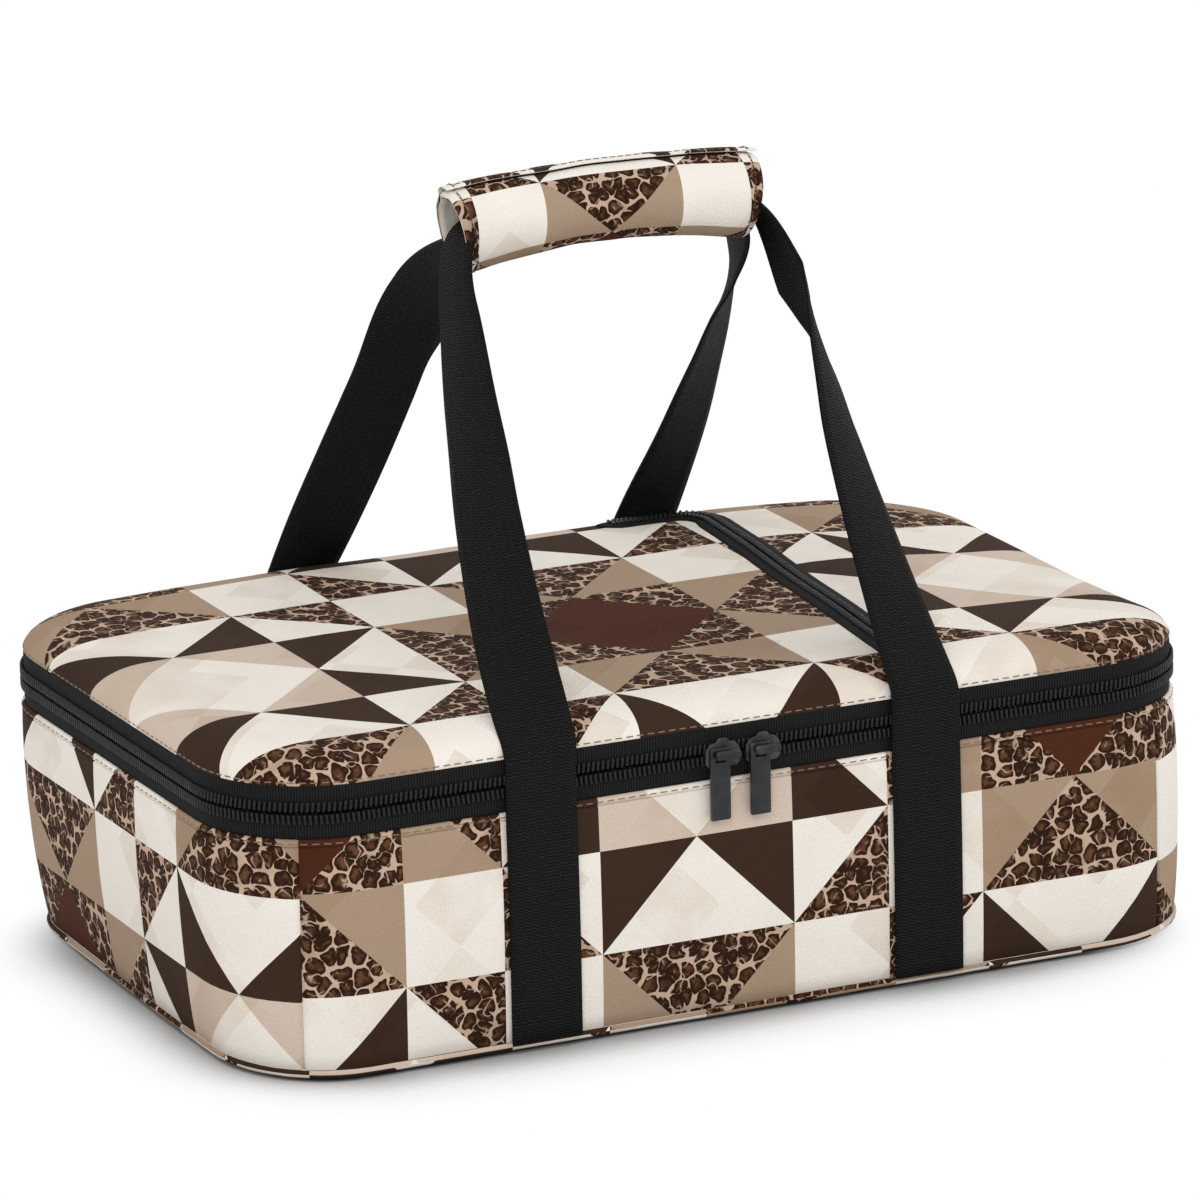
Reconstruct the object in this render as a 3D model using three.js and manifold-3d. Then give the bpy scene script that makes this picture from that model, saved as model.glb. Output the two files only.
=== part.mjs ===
import * as THREE from 'three';
import { mergeVertices } from 'three/addons/utils/BufferGeometryUtils.js';
import Module from 'manifold-3d';

const wasm = await Module();
wasm.setup();

// Soft insulated casserole carrier, millimetres, +Z up, standing on z = 0.
// The front wall faces -Y, the lid hinges along the back wall at +Y.

// Body of the bag
const bagLength = 420;
const bagWidth = 267;
const cornerRadius = 50;
const cornerSteps = 6;
const wallTop = 97.5;
const wallTaper = 3.5;
const gap = 0.3;
const seamAngle = 30;
const panelThickness = 1.2;
const wallFoamThickness = 6;
const liningThickness = 0.6;
const bottomThickness = 1.4;
const bottomInset = 7.3;
const boardThickness = 2.5;
const boardInset = 8.5;
const floorFoamThickness = 5;
const pipingRadius = 1.7;
const pipingOverlap = 0.6;
const pipingLift = 0.9;
const pipingSides = 8;

// Zip round the rim
const zipBandHeight = 21.3;
const tapeInset = 1;
const tapeThickness = 0.8;
const coilHeight = 4;
const coilGroove = 1.6;
const coilThickness = 1.1;
const plateRoom = 1.8;
const rimFoamRise = -0.6;

// Lid
const lidRise = 12.2;
const crownInset = 24;
const lidFoamThickness = 6.5;
const lidFoamInset = 5.6;
const rimFoamThickness = 3;
const rimFoamClearance = 2;
const pocketDepth = 1.5;
const pocketLiningThickness = 0.5;
const pocketLiningInset = 30;

// Zip across the lid
const lidZipFrontInset = 15.5;
const lidZipFrontFromEnd = 130;
const lidZipBackInset = 20.5;
const lidZipBackFromEnd = 122.6;
const lidZipTipFromEnd = 150;
const lidZipBend = 14;
const lidZipBendSteps = 8;
const lidZipWidth = 12.6;
const lidTapeRecess = 0.2;
const lidCoilWidth = 2.2;
const lidCoilHeight = 1.3;
const lidCoilGroove = 1.6;

// Webbing loops and handle
const webbingWidth = 30;
const webbingThickness = 1.8;
const webbingStandoff = 0.75;
const legBottom = 4.6;
const loopSpacing = 168;
const frontLoopShift = -4;
const backLoopShift = 5;
const bendRise = 19.5;
const bendRadius = 12;
const gripHeight = 296;
const gripOffset = 3.6;
const gripWidth = 20.5;
const neckWidth = 25;
const neckGap = 2.5;
const turnRadius = 17;
const turnSteps = 6;
const bendSteps = 4;

// Handle wrap
const wrapShift = 4;
const wrapLength = 124;
const wrapHalfDepth = 14.5;
const wrapHalfHeight = 16.8;
const wrapCoverThickness = 0.9;
const wrapPaddingThickness = 2.2;
const wrapLiningThickness = 0.6;
const wrapTopAngle = 100;
const wrapBottomAngle = -93;
const flapBottomAngle = 266;
const lapAngle = 72;
const closureAngle = 74;
const closureEndAngle = 98;
const closureThickness = 0.8;
const closureEndInset = 6;
const paddingEndInset = 2;
const arcStep = 14;

// Sliders and pulls
const leftSliderX = -9.5;
const rightSliderX = 8;
const sliderLength = 15;
const sliderHeight = 10.5;
const sliderPlate = 1.4;
const sliderBackHeight = 8;
const sliderBackPlate = 1;
const sliderNeckLength = 4;
const sliderNeckThickness = 1;
const plateClearance = 0.4;
const pegOffset = -2;
const crownLegOffset = 5.5;
const crownRadius = 0.9;
const crownRoom = 2.8;
const crownBar = 1.4;
const pullWidth = 8.6;
const pullThickness = 1.5;
const pullLength = 29.5;
const pullLimb = 2;
const pullHoleHeight = 4.6;
const pullCorner = 0.6;
const pocketSliderFromFront = 9;
const pocketPullLength = 23;

// Derived levels
const halfLength = bagLength / 2;
const halfWidth = bagWidth / 2;
const lidRim = wallTop + zipBandHeight;
const zipSplit = (wallTop + lidRim) / 2;
const lidTop = lidRim + lidRise;
const lidZipFrontX = halfLength - lidZipFrontFromEnd;
const lidZipFrontY = lidZipFrontInset - halfWidth;
const lidZipBackX = halfLength - lidZipBackFromEnd;
const lidZipBackY = halfWidth - lidZipBackInset;
const lidZipTipX = halfLength - lidZipTipFromEnd;
const coilBottom = zipSplit - coilGroove / 2 - coilHeight;
const coilTop = zipSplit + coilGroove / 2 + coilHeight;
const foamInset = panelThickness + gap;
const liningInset = foamInset + wallFoamThickness + gap;
const rimInset = tapeInset + tapeThickness + plateRoom;
const boardBottom = bottomThickness + gap;
const floorBottom = boardBottom + boardThickness + gap;
const liningFloorBottom = floorBottom + floorFoamThickness + gap;
const panelBottom = pipingLift + 2 * pipingRadius + gap;
const webbingFace = webbingStandoff + webbingThickness / 2;
const loopStart = wallTop + gap / 2;

// Outline of the bag seen from above: a rounded rectangle, measured
// counter-clockwise along its outer edge from the middle of the back.
const straightX = bagLength - 2 * cornerRadius;
const straightY = bagWidth - 2 * cornerRadius;
const cornerLength = (Math.PI / 2) * cornerRadius;
const perimeter = 2 * straightX + 2 * straightY + 4 * cornerLength;
const backCorner = straightX / 2;
const frontCorner = backCorner + cornerLength + straightY;
const seamReach = (seamAngle / 90) * cornerLength;

function outlineAt(distance) {
  let rest = ((distance % perimeter) + perimeter) % perimeter + straightX / 2;
  const sides = [
    [halfLength - cornerRadius, halfWidth, -1, 0, straightX],
    [-halfLength, halfWidth - cornerRadius, 0, -1, straightY],
    [-halfLength + cornerRadius, -halfWidth, 1, 0, straightX],
    [halfLength, -halfWidth + cornerRadius, 0, 1, straightY],
  ];
  if (rest >= perimeter) rest -= perimeter;
  for (const [x, y, dx, dy, length] of sides) {
    if (rest <= length) {
      return { x: x + dx * rest, y: y + dy * rest, nx: dy, ny: -dx };
    }
    rest -= length;
    if (rest <= cornerLength) {
      const turn = rest / cornerRadius;
      const centreX = x + dx * length - dy * cornerRadius;
      const centreY = y + dy * length + dx * cornerRadius;
      const nx = dy * Math.cos(turn) + dx * Math.sin(turn);
      const ny = -dx * Math.cos(turn) + dy * Math.sin(turn);
      return { x: centreX + nx * cornerRadius, y: centreY + ny * cornerRadius, nx, ny };
    }
    rest -= cornerLength;
  }
  return outlineAt(0);
}

function cornerMarks() {
  const marks = [];
  let start = backCorner;
  for (const side of [straightY, straightX, straightY, straightX]) {
    for (let step = 0; step <= cornerSteps; step += 1) {
      marks.push(start + (cornerLength * step) / cornerSteps);
    }
    start += cornerLength + side;
  }
  return marks;
}

// Closed mesh from rings of points, either joined end to end or capped
function skin(rings, joined, capShape) {
  const count = rings[0].length;
  const position = rings.flat().flatMap((point) => [point.x, point.y, point.z]);
  const faces = [];
  const last = joined ? rings.length : rings.length - 1;
  for (let ring = 0; ring < last; ring += 1) {
    const low = ring * count;
    const high = ((ring + 1) % rings.length) * count;
    for (let k = 0; k < count; k += 1) {
      const next = (k + 1) % count;
      faces.push([low + k, low + next, high + next], [low + k, high + next, high + k]);
    }
  }
  if (!joined) {
    const top = (rings.length - 1) * count;
    const turn = Math.sign(THREE.ShapeUtils.area(capShape));
    for (const cap of THREE.ShapeUtils.triangulateShape(capShape, [])) {
      const same = Math.sign(THREE.ShapeUtils.area(cap.map((k) => capShape[k]))) === turn;
      const [a, b, c] = same ? cap : cap.reverse();
      faces.push([c, b, a], [top + a, top + b, top + c]);
    }
  }
  return outward(position, faces);
}

function outward(position, faces) {
  const corner = (index) => new THREE.Vector3().fromArray(position, index * 3);
  let volume = 0;
  for (const [a, b, c] of faces) {
    volume += corner(a).dot(corner(b).cross(corner(c)));
  }
  const geometry = new THREE.BufferGeometry();
  geometry.setAttribute('position', new THREE.Float32BufferAttribute(position, 3));
  geometry.setIndex(faces.flatMap(([a, b, c]) => (volume > 0 ? [a, b, c] : [a, c, b])));
  geometry.computeVertexNormals();
  return geometry;
}

const flat = (points) => points.map(([x, y]) => new THREE.Vector2(x, y));

function sectionRing(section, distance) {
  const edge = outlineAt(distance);
  return section.map(([inset, z]) => (
    new THREE.Vector3(edge.x - edge.nx * inset, edge.y - edge.ny * inset, z)));
}

// A section of inset and height points carried right round the bag
function hoop(section) {
  return skin(cornerMarks().map((mark) => sectionRing(section, mark)), true);
}

// The same carried along part of the outline only
function hoopPart(section, from, to) {
  const inner = cornerMarks().filter((mark) => mark > from + gap && mark < to - gap);
  const wrapped = cornerMarks().map((mark) => mark - perimeter);
  const before = wrapped.filter((mark) => mark > from + gap && mark < to - gap);
  const marks = [from, ...before, ...inner, to];
  return skin(marks.map((mark) => sectionRing(section, mark)), false, flat(section));
}

const strip = (inset, thickness, bottom, top) => [
  [inset, bottom], [inset, top], [inset + thickness, top], [inset + thickness, bottom]];

// A solid whose outline shrinks by each inset as it rises
function loft(profile) {
  const rings = profile.map(([inset, z]) => cornerMarks().map((mark) => {
    const edge = outlineAt(mark);
    return new THREE.Vector3(edge.x - edge.nx * inset, edge.y - edge.ny * inset, z);
  }));
  return skin(rings, false, rings[0].map((point) => new THREE.Vector2(point.x, point.y)));
}

const slab = (inset, bottom, thickness) => loft([[inset, bottom], [inset, bottom + thickness]]);

function box(width, depth, height, x, y, z) {
  return new THREE.BoxGeometry(width, depth, height).translate(x, y, z);
}

function solid(geometry) {
  const bare = geometry.clone();
  bare.deleteAttribute('normal');
  bare.deleteAttribute('uv');
  const merged = mergeVertices(bare, 1e-5);
  return new wasm.Manifold(new wasm.Mesh({
    numProp: 3,
    vertProperties: new Float32Array(merged.attributes.position.array),
    triVerts: new Uint32Array(merged.index.array),
  }));
}

function meshOf(body) {
  const mesh = body.getMesh();
  const geometry = new THREE.BufferGeometry();
  geometry.setAttribute('position', new THREE.BufferAttribute(mesh.vertProperties, 3));
  geometry.setIndex(new THREE.BufferAttribute(mesh.triVerts, 1));
  geometry.computeVertexNormals();
  return geometry;
}

const joinAll = (pieces) => meshOf(pieces.map(solid).reduce((a, b) => a.add(b)));

const finish = (color, roughness, metalness = 0) => (
  new THREE.MeshStandardMaterial({ color, roughness, metalness }));

const printed = () => finish(0xb89f88, 0.75);
const blackCloth = () => finish(0x19191b, 0.8);
const paleCloth = () => finish(0xe6ddd2, 0.8);
const foil = () => finish(0xc9cbce, 0.35, 0.4);
const foam = () => finish(0xe9e7e1, 0.9);
const board = () => finish(0x3a3a3c, 0.6);
const coilNylon = () => finish(0x232426, 0.45);
const darkMetal = () => finish(0x303235, 0.4, 0.7);

const carrier = new THREE.Group();

function add(name, geometry, material, parent = carrier) {
  const mesh = new THREE.Mesh(geometry, material);
  mesh.name = name;
  parent.add(mesh);
}

// Bottom and walls
function pipingSection() {
  const centre = pipingLift + pipingRadius;
  return Array.from({ length: pipingSides }, (_, k) => {
    const angle = (2 * Math.PI * (k + 0.5)) / pipingSides;
    const inset = wallTaper + pipingOverlap + pipingRadius * Math.cos(angle);
    return [inset, centre + pipingRadius * Math.sin(angle)];
  });
}

const wallFoamSection = [
  [foamInset + wallTaper, panelBottom],
  [foamInset, wallTop - gap],
  [rimInset, wallTop - gap],
  [rimInset, zipSplit - rimFoamClearance],
  [foamInset + wallFoamThickness, zipSplit - rimFoamClearance],
  [foamInset + wallFoamThickness, panelBottom],
];

function addBag() {
  add('bottom_panel', slab(bottomInset, 0, bottomThickness), blackCloth());
  add('bottom_piping', hoop(pipingSection()), printed());
  add('base_board', slab(boardInset, boardBottom, boardThickness), board());
  add('floor_foam', slab(liningInset, floorBottom, floorFoamThickness), foam());
  add('lining_floor', slab(liningInset, liningFloorBottom, liningThickness), foil());
  const liningBottom = liningFloorBottom + liningThickness + gap;
  const liningTop = zipSplit - rimFoamClearance;
  add('lining_wall', hoop(strip(liningInset, liningThickness, liningBottom, liningTop)), foil());
  add('wall_foam', hoop(wallFoamSection), foam());

  const panel = [
    [wallTaper, panelBottom], [0, wallTop], [panelThickness, wallTop],
    [panelThickness + wallTaper, panelBottom]];
  const frontSeam = frontCorner + cornerLength - seamReach;
  const backSeam = backCorner + seamReach;
  const seams = [-backSeam, backSeam, frontSeam, perimeter - frontSeam, perimeter - backSeam];
  ['back', 'left', 'front', 'right'].forEach((side, k) => {
    const geometry = hoopPart(panel, seams[k] + gap / 2, seams[k + 1] - gap / 2);
    add(`${side}_wall_panel`, geometry, printed());
  });
}

// Zip round the rim, from one back corner round the front to the other
function addRimZip() {
  const from = backCorner + gap;
  const to = perimeter - backCorner - gap;
  const grooveHalf = coilGroove / 2;
  const coilInset = tapeInset - gap - coilThickness;
  const parts = {
    lower_zip_tape: strip(tapeInset, tapeThickness, wallTop + gap, zipSplit - grooveHalf),
    lower_zip_coil: strip(coilInset, coilThickness, coilBottom, zipSplit - grooveHalf),
    upper_zip_tape: strip(tapeInset, tapeThickness, zipSplit + grooveHalf, lidRim - gap),
    upper_zip_coil: strip(coilInset, coilThickness, zipSplit + grooveHalf, coilTop),
  };
  for (const [name, section] of Object.entries(parts)) {
    const material = name.endsWith('coil') ? coilNylon() : blackCloth();
    add(name, hoopPart(section, from, to), material);
  }
  const hinge = strip(tapeInset, tapeThickness, wallTop + gap, lidRim - gap);
  add('back_hinge_strip', hoopPart(hinge, -backCorner, backCorner), printed());
}

// Lid: the cover falls away to its rim in a soft shoulder
const shoulder = [[0, 0], [0.05, 0.21], [0.14, 0.48], [0.33, 0.72], [0.57, 0.89], [0.83, 0.97], [1, 1]];

function shoulderPoints(startInset, startZ, endInset, endZ) {
  return shoulder.map(([across, up]) => (
    [startInset + (endInset - startInset) * across, startZ + (endZ - startZ) * up]));
}

// Centre line of the zip across the lid: a slanted run, a bend and a short back run
function lidZipLine() {
  const centre = new THREE.Vector2(lidZipBackX, lidZipBackY - lidZipBend);
  const front = new THREE.Vector2(lidZipFrontX, lidZipFrontY);
  const reach = centre.clone().sub(front);
  const slant = reach.angle() - Math.asin(lidZipBend / reach.length());
  const points = [front];
  for (let step = 0; step <= lidZipBendSteps; step += 1) {
    const angle = slant - Math.PI / 2 + ((Math.PI - slant) * step) / lidZipBendSteps;
    points.push(new THREE.Vector2(
      centre.x + lidZipBend * Math.cos(angle),
      centre.y + lidZipBend * Math.sin(angle),
    ));
  }
  points.push(new THREE.Vector2(lidZipTipX, lidZipBackY));
  return { points, slant };
}

// A flat strip between two sideways offsets of that line
function lidZipStrip(left, right, bottom, top, endReach) {
  const { points } = lidZipLine();
  const shifted = (offset) => points.map((point, k) => {
    const before = points[Math.max(k - 1, 0)];
    const after = points[Math.min(k + 1, points.length - 1)];
    const along = after.clone().sub(before).normalize();
    const end = k === 0 ? -endReach : k === points.length - 1 ? endReach : 0;
    return new THREE.Vector2(
      point.x - along.y * offset + along.x * end,
      point.y + along.x * offset + along.y * end,
    );
  });
  const shape = new THREE.Shape([...shifted(left), ...shifted(right).reverse()]);
  return new THREE.ExtrudeGeometry(shape, { depth: top - bottom, bevelEnabled: false })
    .translate(0, 0, bottom);
}

function addLid() {
  const outer = shoulderPoints(tapeInset, lidRim, crownInset, lidTop);
  const inner = shoulderPoints(
    tapeInset + panelThickness, lidRim, crownInset + gap, lidTop - panelThickness);
  const shell = loft([...inner.reverse(), ...outer]);
  const half = lidZipWidth / 2;
  const slot = lidZipStrip(half, -half, lidRim, lidTop + panelThickness, gap);
  add('lid_cover', meshOf(solid(shell).subtract(solid(slot))), printed());

  const pocketFloor = lidTop - panelThickness - pocketDepth;
  const sheetBottom = pocketFloor - pocketLiningThickness;
  add('pocket_lining', slab(pocketLiningInset, sheetBottom, pocketLiningThickness), blackCloth());
  const foamTop = sheetBottom - gap;
  const foamBottom = foamTop - lidFoamThickness;
  const foamEdge = lidFoamInset + 0.6;
  add('lid_foam', loft([
    [lidFoamInset, foamBottom],
    ...shoulderPoints(foamEdge, foamBottom + 1, crownInset, foamTop).slice(1),
  ]), foam());

  const rimTop = lidRim + rimFoamRise;
  const rimBottom = zipSplit + rimFoamClearance;
  add('lid_rim_foam', hoop(strip(rimInset, rimFoamThickness, rimBottom, rimTop)), foam());
  const skirtInset = rimInset + rimFoamThickness + gap;
  const trayTop = foamBottom - gap;
  add('lid_lining', loft([
    [skirtInset + liningThickness, trayTop - liningThickness],
    [skirtInset + liningThickness, rimBottom],
    [skirtInset, rimBottom],
    [skirtInset, trayTop],
  ]), foil());

  const tapeTop = lidTop - lidTapeRecess;
  const tapeBottom = tapeTop - tapeThickness;
  const groove = lidCoilGroove / 2;
  const reach = half - gap;
  const coilLow = tapeTop + gap;
  const coilHigh = coilLow + lidCoilHeight;
  const edge = groove + lidCoilWidth;
  add('pocket_zip_tape_left', lidZipStrip(reach, groove, tapeBottom, tapeTop, 0), blackCloth());
  add('pocket_zip_tape_right', lidZipStrip(-groove, -reach, tapeBottom, tapeTop, 0), blackCloth());
  add('pocket_zip_coil_left', lidZipStrip(edge, groove, coilLow, coilHigh, 0), coilNylon());
  add('pocket_zip_coil_right', lidZipStrip(-groove, -edge, coilLow, coilHigh, 0), coilNylon());
}

// One webbing loop: up the wall from the sewn leg, over the lid's edge, leaning in to the
// handle, then round in its own plane to run along the grip, and the same on the other side
function loopStations(shift) {
  const face = halfWidth + webbingFace;
  const bendZ = wallTop + bendRise;
  const neckZ = gripHeight - turnRadius;
  const run = face - gripOffset;
  const lean = Math.atan2(run, neckZ - bendZ) + bendRadius / (neckZ - bendZ) / 4;
  const side = [[face, loopStart], [face, bendZ]];
  for (let step = 1; step <= bendSteps; step += 1) {
    const angle = (lean * step) / bendSteps;
    side.push([face - bendRadius * (1 - Math.cos(angle)), bendZ + bendRadius * Math.sin(angle)]);
  }
  const upper = [];
  for (let step = bendSteps; step >= 1; step -= 1) {
    const angle = (lean * step) / bendSteps;
    upper.push([gripOffset + bendRadius * (1 - Math.cos(angle)), neckZ - bendRadius * Math.sin(angle)]);
  }
  const profile = [...side, ...upper, [gripOffset, neckZ]];
  const stations = [];
  for (const end of [-1, 1]) {
    const base = shift + (end * loopSpacing) / 2;
    const neck = wrapShift + end * (wrapLength / 2 + neckWidth / 2 + neckGap);
    const half = [];
    profile.forEach(([y, z]) => {
      const along = THREE.MathUtils.clamp((z - bendZ) / (neckZ - bendZ), 0, 1);
      const width = THREE.MathUtils.lerp(webbingWidth, neckWidth, along ** 2);
      const x = THREE.MathUtils.lerp(base, neck, along);
      half.push({ x, y, z, across: [-end, 0], width });
    });
    const centre = neck - end * turnRadius;
    for (let step = 1; step <= turnSteps; step += 1) {
      const turn = ((Math.PI / 2) * step) / turnSteps;
      half.push({
        x: centre + end * turnRadius * Math.cos(turn),
        y: gripOffset,
        z: neckZ + turnRadius * Math.sin(turn),
        across: [-end * Math.cos(turn), -Math.sin(turn)],
        width: THREE.MathUtils.lerp(neckWidth, gripWidth, step / turnSteps),
      });
    }
    stations.push(...(end < 0 ? half : half.reverse()));
  }
  return stations;
}

function webbingLoop(shift, facing) {
  const stations = loopStations(shift);
  const rings = stations.map((station, k) => {
    const before = stations[Math.max(k - 1, 0)];
    const after = stations[Math.min(k + 1, stations.length - 1)];
    const along = new THREE.Vector3(after.x - before.x, after.y - before.y, after.z - before.z);
    const across = new THREE.Vector3(station.across[0], 0, station.across[1]);
    const normal = along.cross(across).normalize().multiplyScalar(webbingThickness / 2);
    across.multiplyScalar(station.width / 2);
    const centre = new THREE.Vector3(station.x, station.y, station.z);
    return [[1, 1], [-1, 1], [-1, -1], [1, -1]].map(([wide, thick]) => {
      const point = centre.clone().addScaledVector(across, wide).addScaledVector(normal, thick);
      point.y *= facing;
      return point;
    });
  });
  return skin(rings, false, flat([[1, 1], [-1, 1], [-1, -1], [1, -1]]));
}

// The sewn leg of a loop leans with the wall that it lies on
function webbingLeg(x, facing) {
  const inner = halfWidth + webbingStandoff;
  const outer = inner + webbingThickness;
  const section = [
    [inner - wallTaper, legBottom], [outer - wallTaper, legBottom],
    [outer, loopStart - gap], [inner, loopStart - gap]];
  const rings = [-0.5, 0.5].map((side) => section.map(([y, z]) => (
    new THREE.Vector3(x + side * webbingWidth, facing * y, z))));
  return skin(rings, false, flat(section));
}

function addWebbing() {
  const loops = { front: [frontLoopShift, -1], back: [backLoopShift, 1] };
  for (const [name, [shift, facing]] of Object.entries(loops)) {
    ['left', 'right'].forEach((side, k) => {
      const leg = webbingLeg(shift + (k - 0.5) * loopSpacing, facing);
      add(`${name}_${side}_strap_leg`, leg, blackCloth());
    });
    add(`${name}_strap_loop`, webbingLoop(shift, facing), blackCloth());
  }
}

// Handle wrap: an oval tube in two parts. Angles run from the front (0) over the top (90),
// and offsets are measured outwards from the oval.
function wrapArc(fromAngle, toAngle, inner, thickness, endInset) {
  const steps = Math.ceil(Math.abs(toAngle - fromAngle) / arcStep);
  const at = (angle, offset) => new THREE.Vector2(
    -(wrapHalfDepth + offset) * Math.cos(angle),
    gripHeight + (wrapHalfHeight + offset) * Math.sin(angle),
  );
  const angles = Array.from({ length: steps + 1 }, (_, k) => (
    THREE.MathUtils.degToRad(fromAngle + ((toAngle - fromAngle) * k) / steps)));
  const section = [
    ...angles.map((angle) => at(angle, inner)),
    ...angles.map((angle) => at(angle, inner + thickness)).reverse(),
  ];
  const half = wrapLength / 2 - endInset;
  const rings = [-half, half].map((x) => (
    section.map((point) => new THREE.Vector3(wrapShift + x, point.x, point.y))));
  return skin(rings, false, section);
}

function addWrap() {
  const paddingOuter = -wrapCoverThickness - gap;
  const liningOuter = paddingOuter - wrapPaddingThickness - gap;
  const liningInner = liningOuter - wrapLiningThickness;
  const mainArc = (inner, thickness, inset) => (
    wrapArc(wrapBottomAngle, wrapTopAngle, inner, thickness, inset));
  add('wrap_cover', mainArc(-wrapCoverThickness, wrapCoverThickness, 0), printed());
  add('wrap_padding', mainArc(paddingOuter - wrapPaddingThickness, wrapPaddingThickness,
    paddingEndInset), foam());
  add('wrap_lining', mainArc(liningInner, wrapLiningThickness, 0), paleCloth());

  const closure = (inner) => (
    wrapArc(closureAngle, closureEndAngle, inner, closureThickness, closureEndInset));
  const hookInner = gap + closureThickness + gap;
  add('wrap_loop_tape', closure(gap), blackCloth());
  add('flap_hook_tape', closure(hookInner), blackCloth());

  const flapInner = hookInner + closureThickness + gap;
  const flapArc = (from, inner, thickness, inset) => (
    wrapArc(from, flapBottomAngle, inner, thickness, inset));
  const flapStart = wrapTopAngle + 2;
  const flapLiningInner = paddingOuter - wrapLiningThickness - gap;
  const flapPaddingInner = flapLiningInner + wrapLiningThickness + gap;
  add('flap_cover', flapArc(lapAngle, flapInner, wrapCoverThickness, 0), printed());
  add('flap_padding', flapArc(flapStart, flapPaddingInner, flapInner - gap - flapPaddingInner,
    paddingEndInset), foam());
  add('flap_lining', flapArc(flapStart, flapLiningInner, wrapLiningThickness, 0), paleCloth());
}

// A zip slider. Its own x runs along the zip, y across it and z out of the face, with z = 0
// at the outside of the coils. The neck passes between the two coils.
function sliderGeometry(backDepth) {
  const plateZ = plateClearance + sliderPlate;
  const barZ = plateZ + crownRoom;
  const neckDepth = backDepth + sliderBackPlate;
  const crownLength = crownLegOffset - pegOffset + 2 * crownRadius;
  const leg = (x) => new THREE.CylinderGeometry(crownRadius, crownRadius, crownRoom + crownBar, 12)
    .rotateX(Math.PI / 2)
    .translate(x, 0, plateZ - gap + (crownRoom + crownBar) / 2);
  return joinAll([
    box(sliderLength, sliderHeight, sliderPlate, 0, 0, plateClearance + sliderPlate / 2),
    box(sliderNeckLength, sliderNeckThickness, neckDepth + plateClearance + gap, 0, 0,
      (plateClearance + gap - neckDepth) / 2),
    box(sliderLength, sliderBackHeight, sliderBackPlate, 0, 0, -backDepth - sliderBackPlate / 2),
    leg(pegOffset),
    leg(crownLegOffset),
    box(crownLength, 2 * crownRadius, crownBar, (pegOffset + crownLegOffset) / 2, 0,
      barZ + crownBar / 2),
  ]);
}

// The pull hangs on one leg of the crown by the hole at its top
function pullGeometry(length) {
  const top = crownRadius + gap + pullLimb;
  const half = pullWidth / 2;
  const outline = new THREE.Shape(flat([
    [-half + pullCorner, top], [-half, top - pullCorner], [-half, top - length + pullCorner],
    [-half + pullCorner, top - length], [half - pullCorner, top - length],
    [half, top - length + pullCorner], [half, top - pullCorner], [half - pullCorner, top],
  ]));
  const holeHalf = half - pullLimb;
  const holeTop = top - pullLimb;
  outline.holes.push(new THREE.Path(flat([
    [-holeHalf, holeTop], [-holeHalf, holeTop - pullHoleHeight],
    [holeHalf, holeTop - pullHoleHeight], [holeHalf, holeTop],
  ])));
  const back = plateClearance + sliderPlate + (crownRoom - pullThickness) / 2;
  return new THREE.ExtrudeGeometry(outline, { depth: pullThickness, bevelEnabled: false })
    .translate(pegOffset, 0, back);
}

function addSliders() {
  const coilFace = halfWidth + coilThickness - tapeInset + gap;
  const backDepth = coilThickness + gap + tapeThickness + plateClearance;
  const rim = { left: leftSliderX, right: rightSliderX };
  for (const [side, x] of Object.entries(rim)) {
    const place = new THREE.Group();
    place.position.set(x, -coilFace, zipSplit);
    place.rotation.x = Math.PI / 2;
    add(`${side}_slider`, sliderGeometry(backDepth), darkMetal(), place);
    add(`${side}_pull`, pullGeometry(pullLength), darkMetal(), place);
    carrier.add(place);
  }
  const { slant } = lidZipLine();
  const lidCoilTop = lidTop - lidTapeRecess + gap + lidCoilHeight;
  const lidBackDepth = lidCoilHeight + gap + tapeThickness + gap;
  const place = new THREE.Group();
  place.position.set(
    lidZipFrontX + pocketSliderFromFront * Math.cos(slant),
    lidZipFrontY + pocketSliderFromFront * Math.sin(slant),
    lidCoilTop,
  );
  place.rotation.z = slant;
  add('pocket_slider', sliderGeometry(lidBackDepth), darkMetal(), place);
  add('pocket_pull', pullGeometry(pocketPullLength), darkMetal(), place);
  carrier.add(place);
}

addBag();
addRimZip();
addLid();
addWebbing();
addWrap();
addSliders();

export default carrier;
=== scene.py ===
import math
import random

import bmesh
import bpy
from mathutils import Matrix, Vector, noise


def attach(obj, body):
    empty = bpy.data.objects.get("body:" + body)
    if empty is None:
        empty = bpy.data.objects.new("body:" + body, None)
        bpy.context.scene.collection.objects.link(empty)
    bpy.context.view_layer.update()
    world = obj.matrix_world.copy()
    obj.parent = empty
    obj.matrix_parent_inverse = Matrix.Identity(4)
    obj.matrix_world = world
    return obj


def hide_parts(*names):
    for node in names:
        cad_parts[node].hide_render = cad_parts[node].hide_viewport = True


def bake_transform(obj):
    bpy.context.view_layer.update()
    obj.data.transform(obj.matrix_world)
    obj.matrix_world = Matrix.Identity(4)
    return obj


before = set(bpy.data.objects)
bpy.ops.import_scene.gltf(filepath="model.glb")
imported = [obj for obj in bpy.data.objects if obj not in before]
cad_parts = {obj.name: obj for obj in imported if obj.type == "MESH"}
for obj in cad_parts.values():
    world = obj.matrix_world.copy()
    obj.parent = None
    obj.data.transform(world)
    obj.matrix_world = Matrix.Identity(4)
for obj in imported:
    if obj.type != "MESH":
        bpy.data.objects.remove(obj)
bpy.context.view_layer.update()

scene = bpy.context.scene
draw = random.Random(11)

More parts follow.
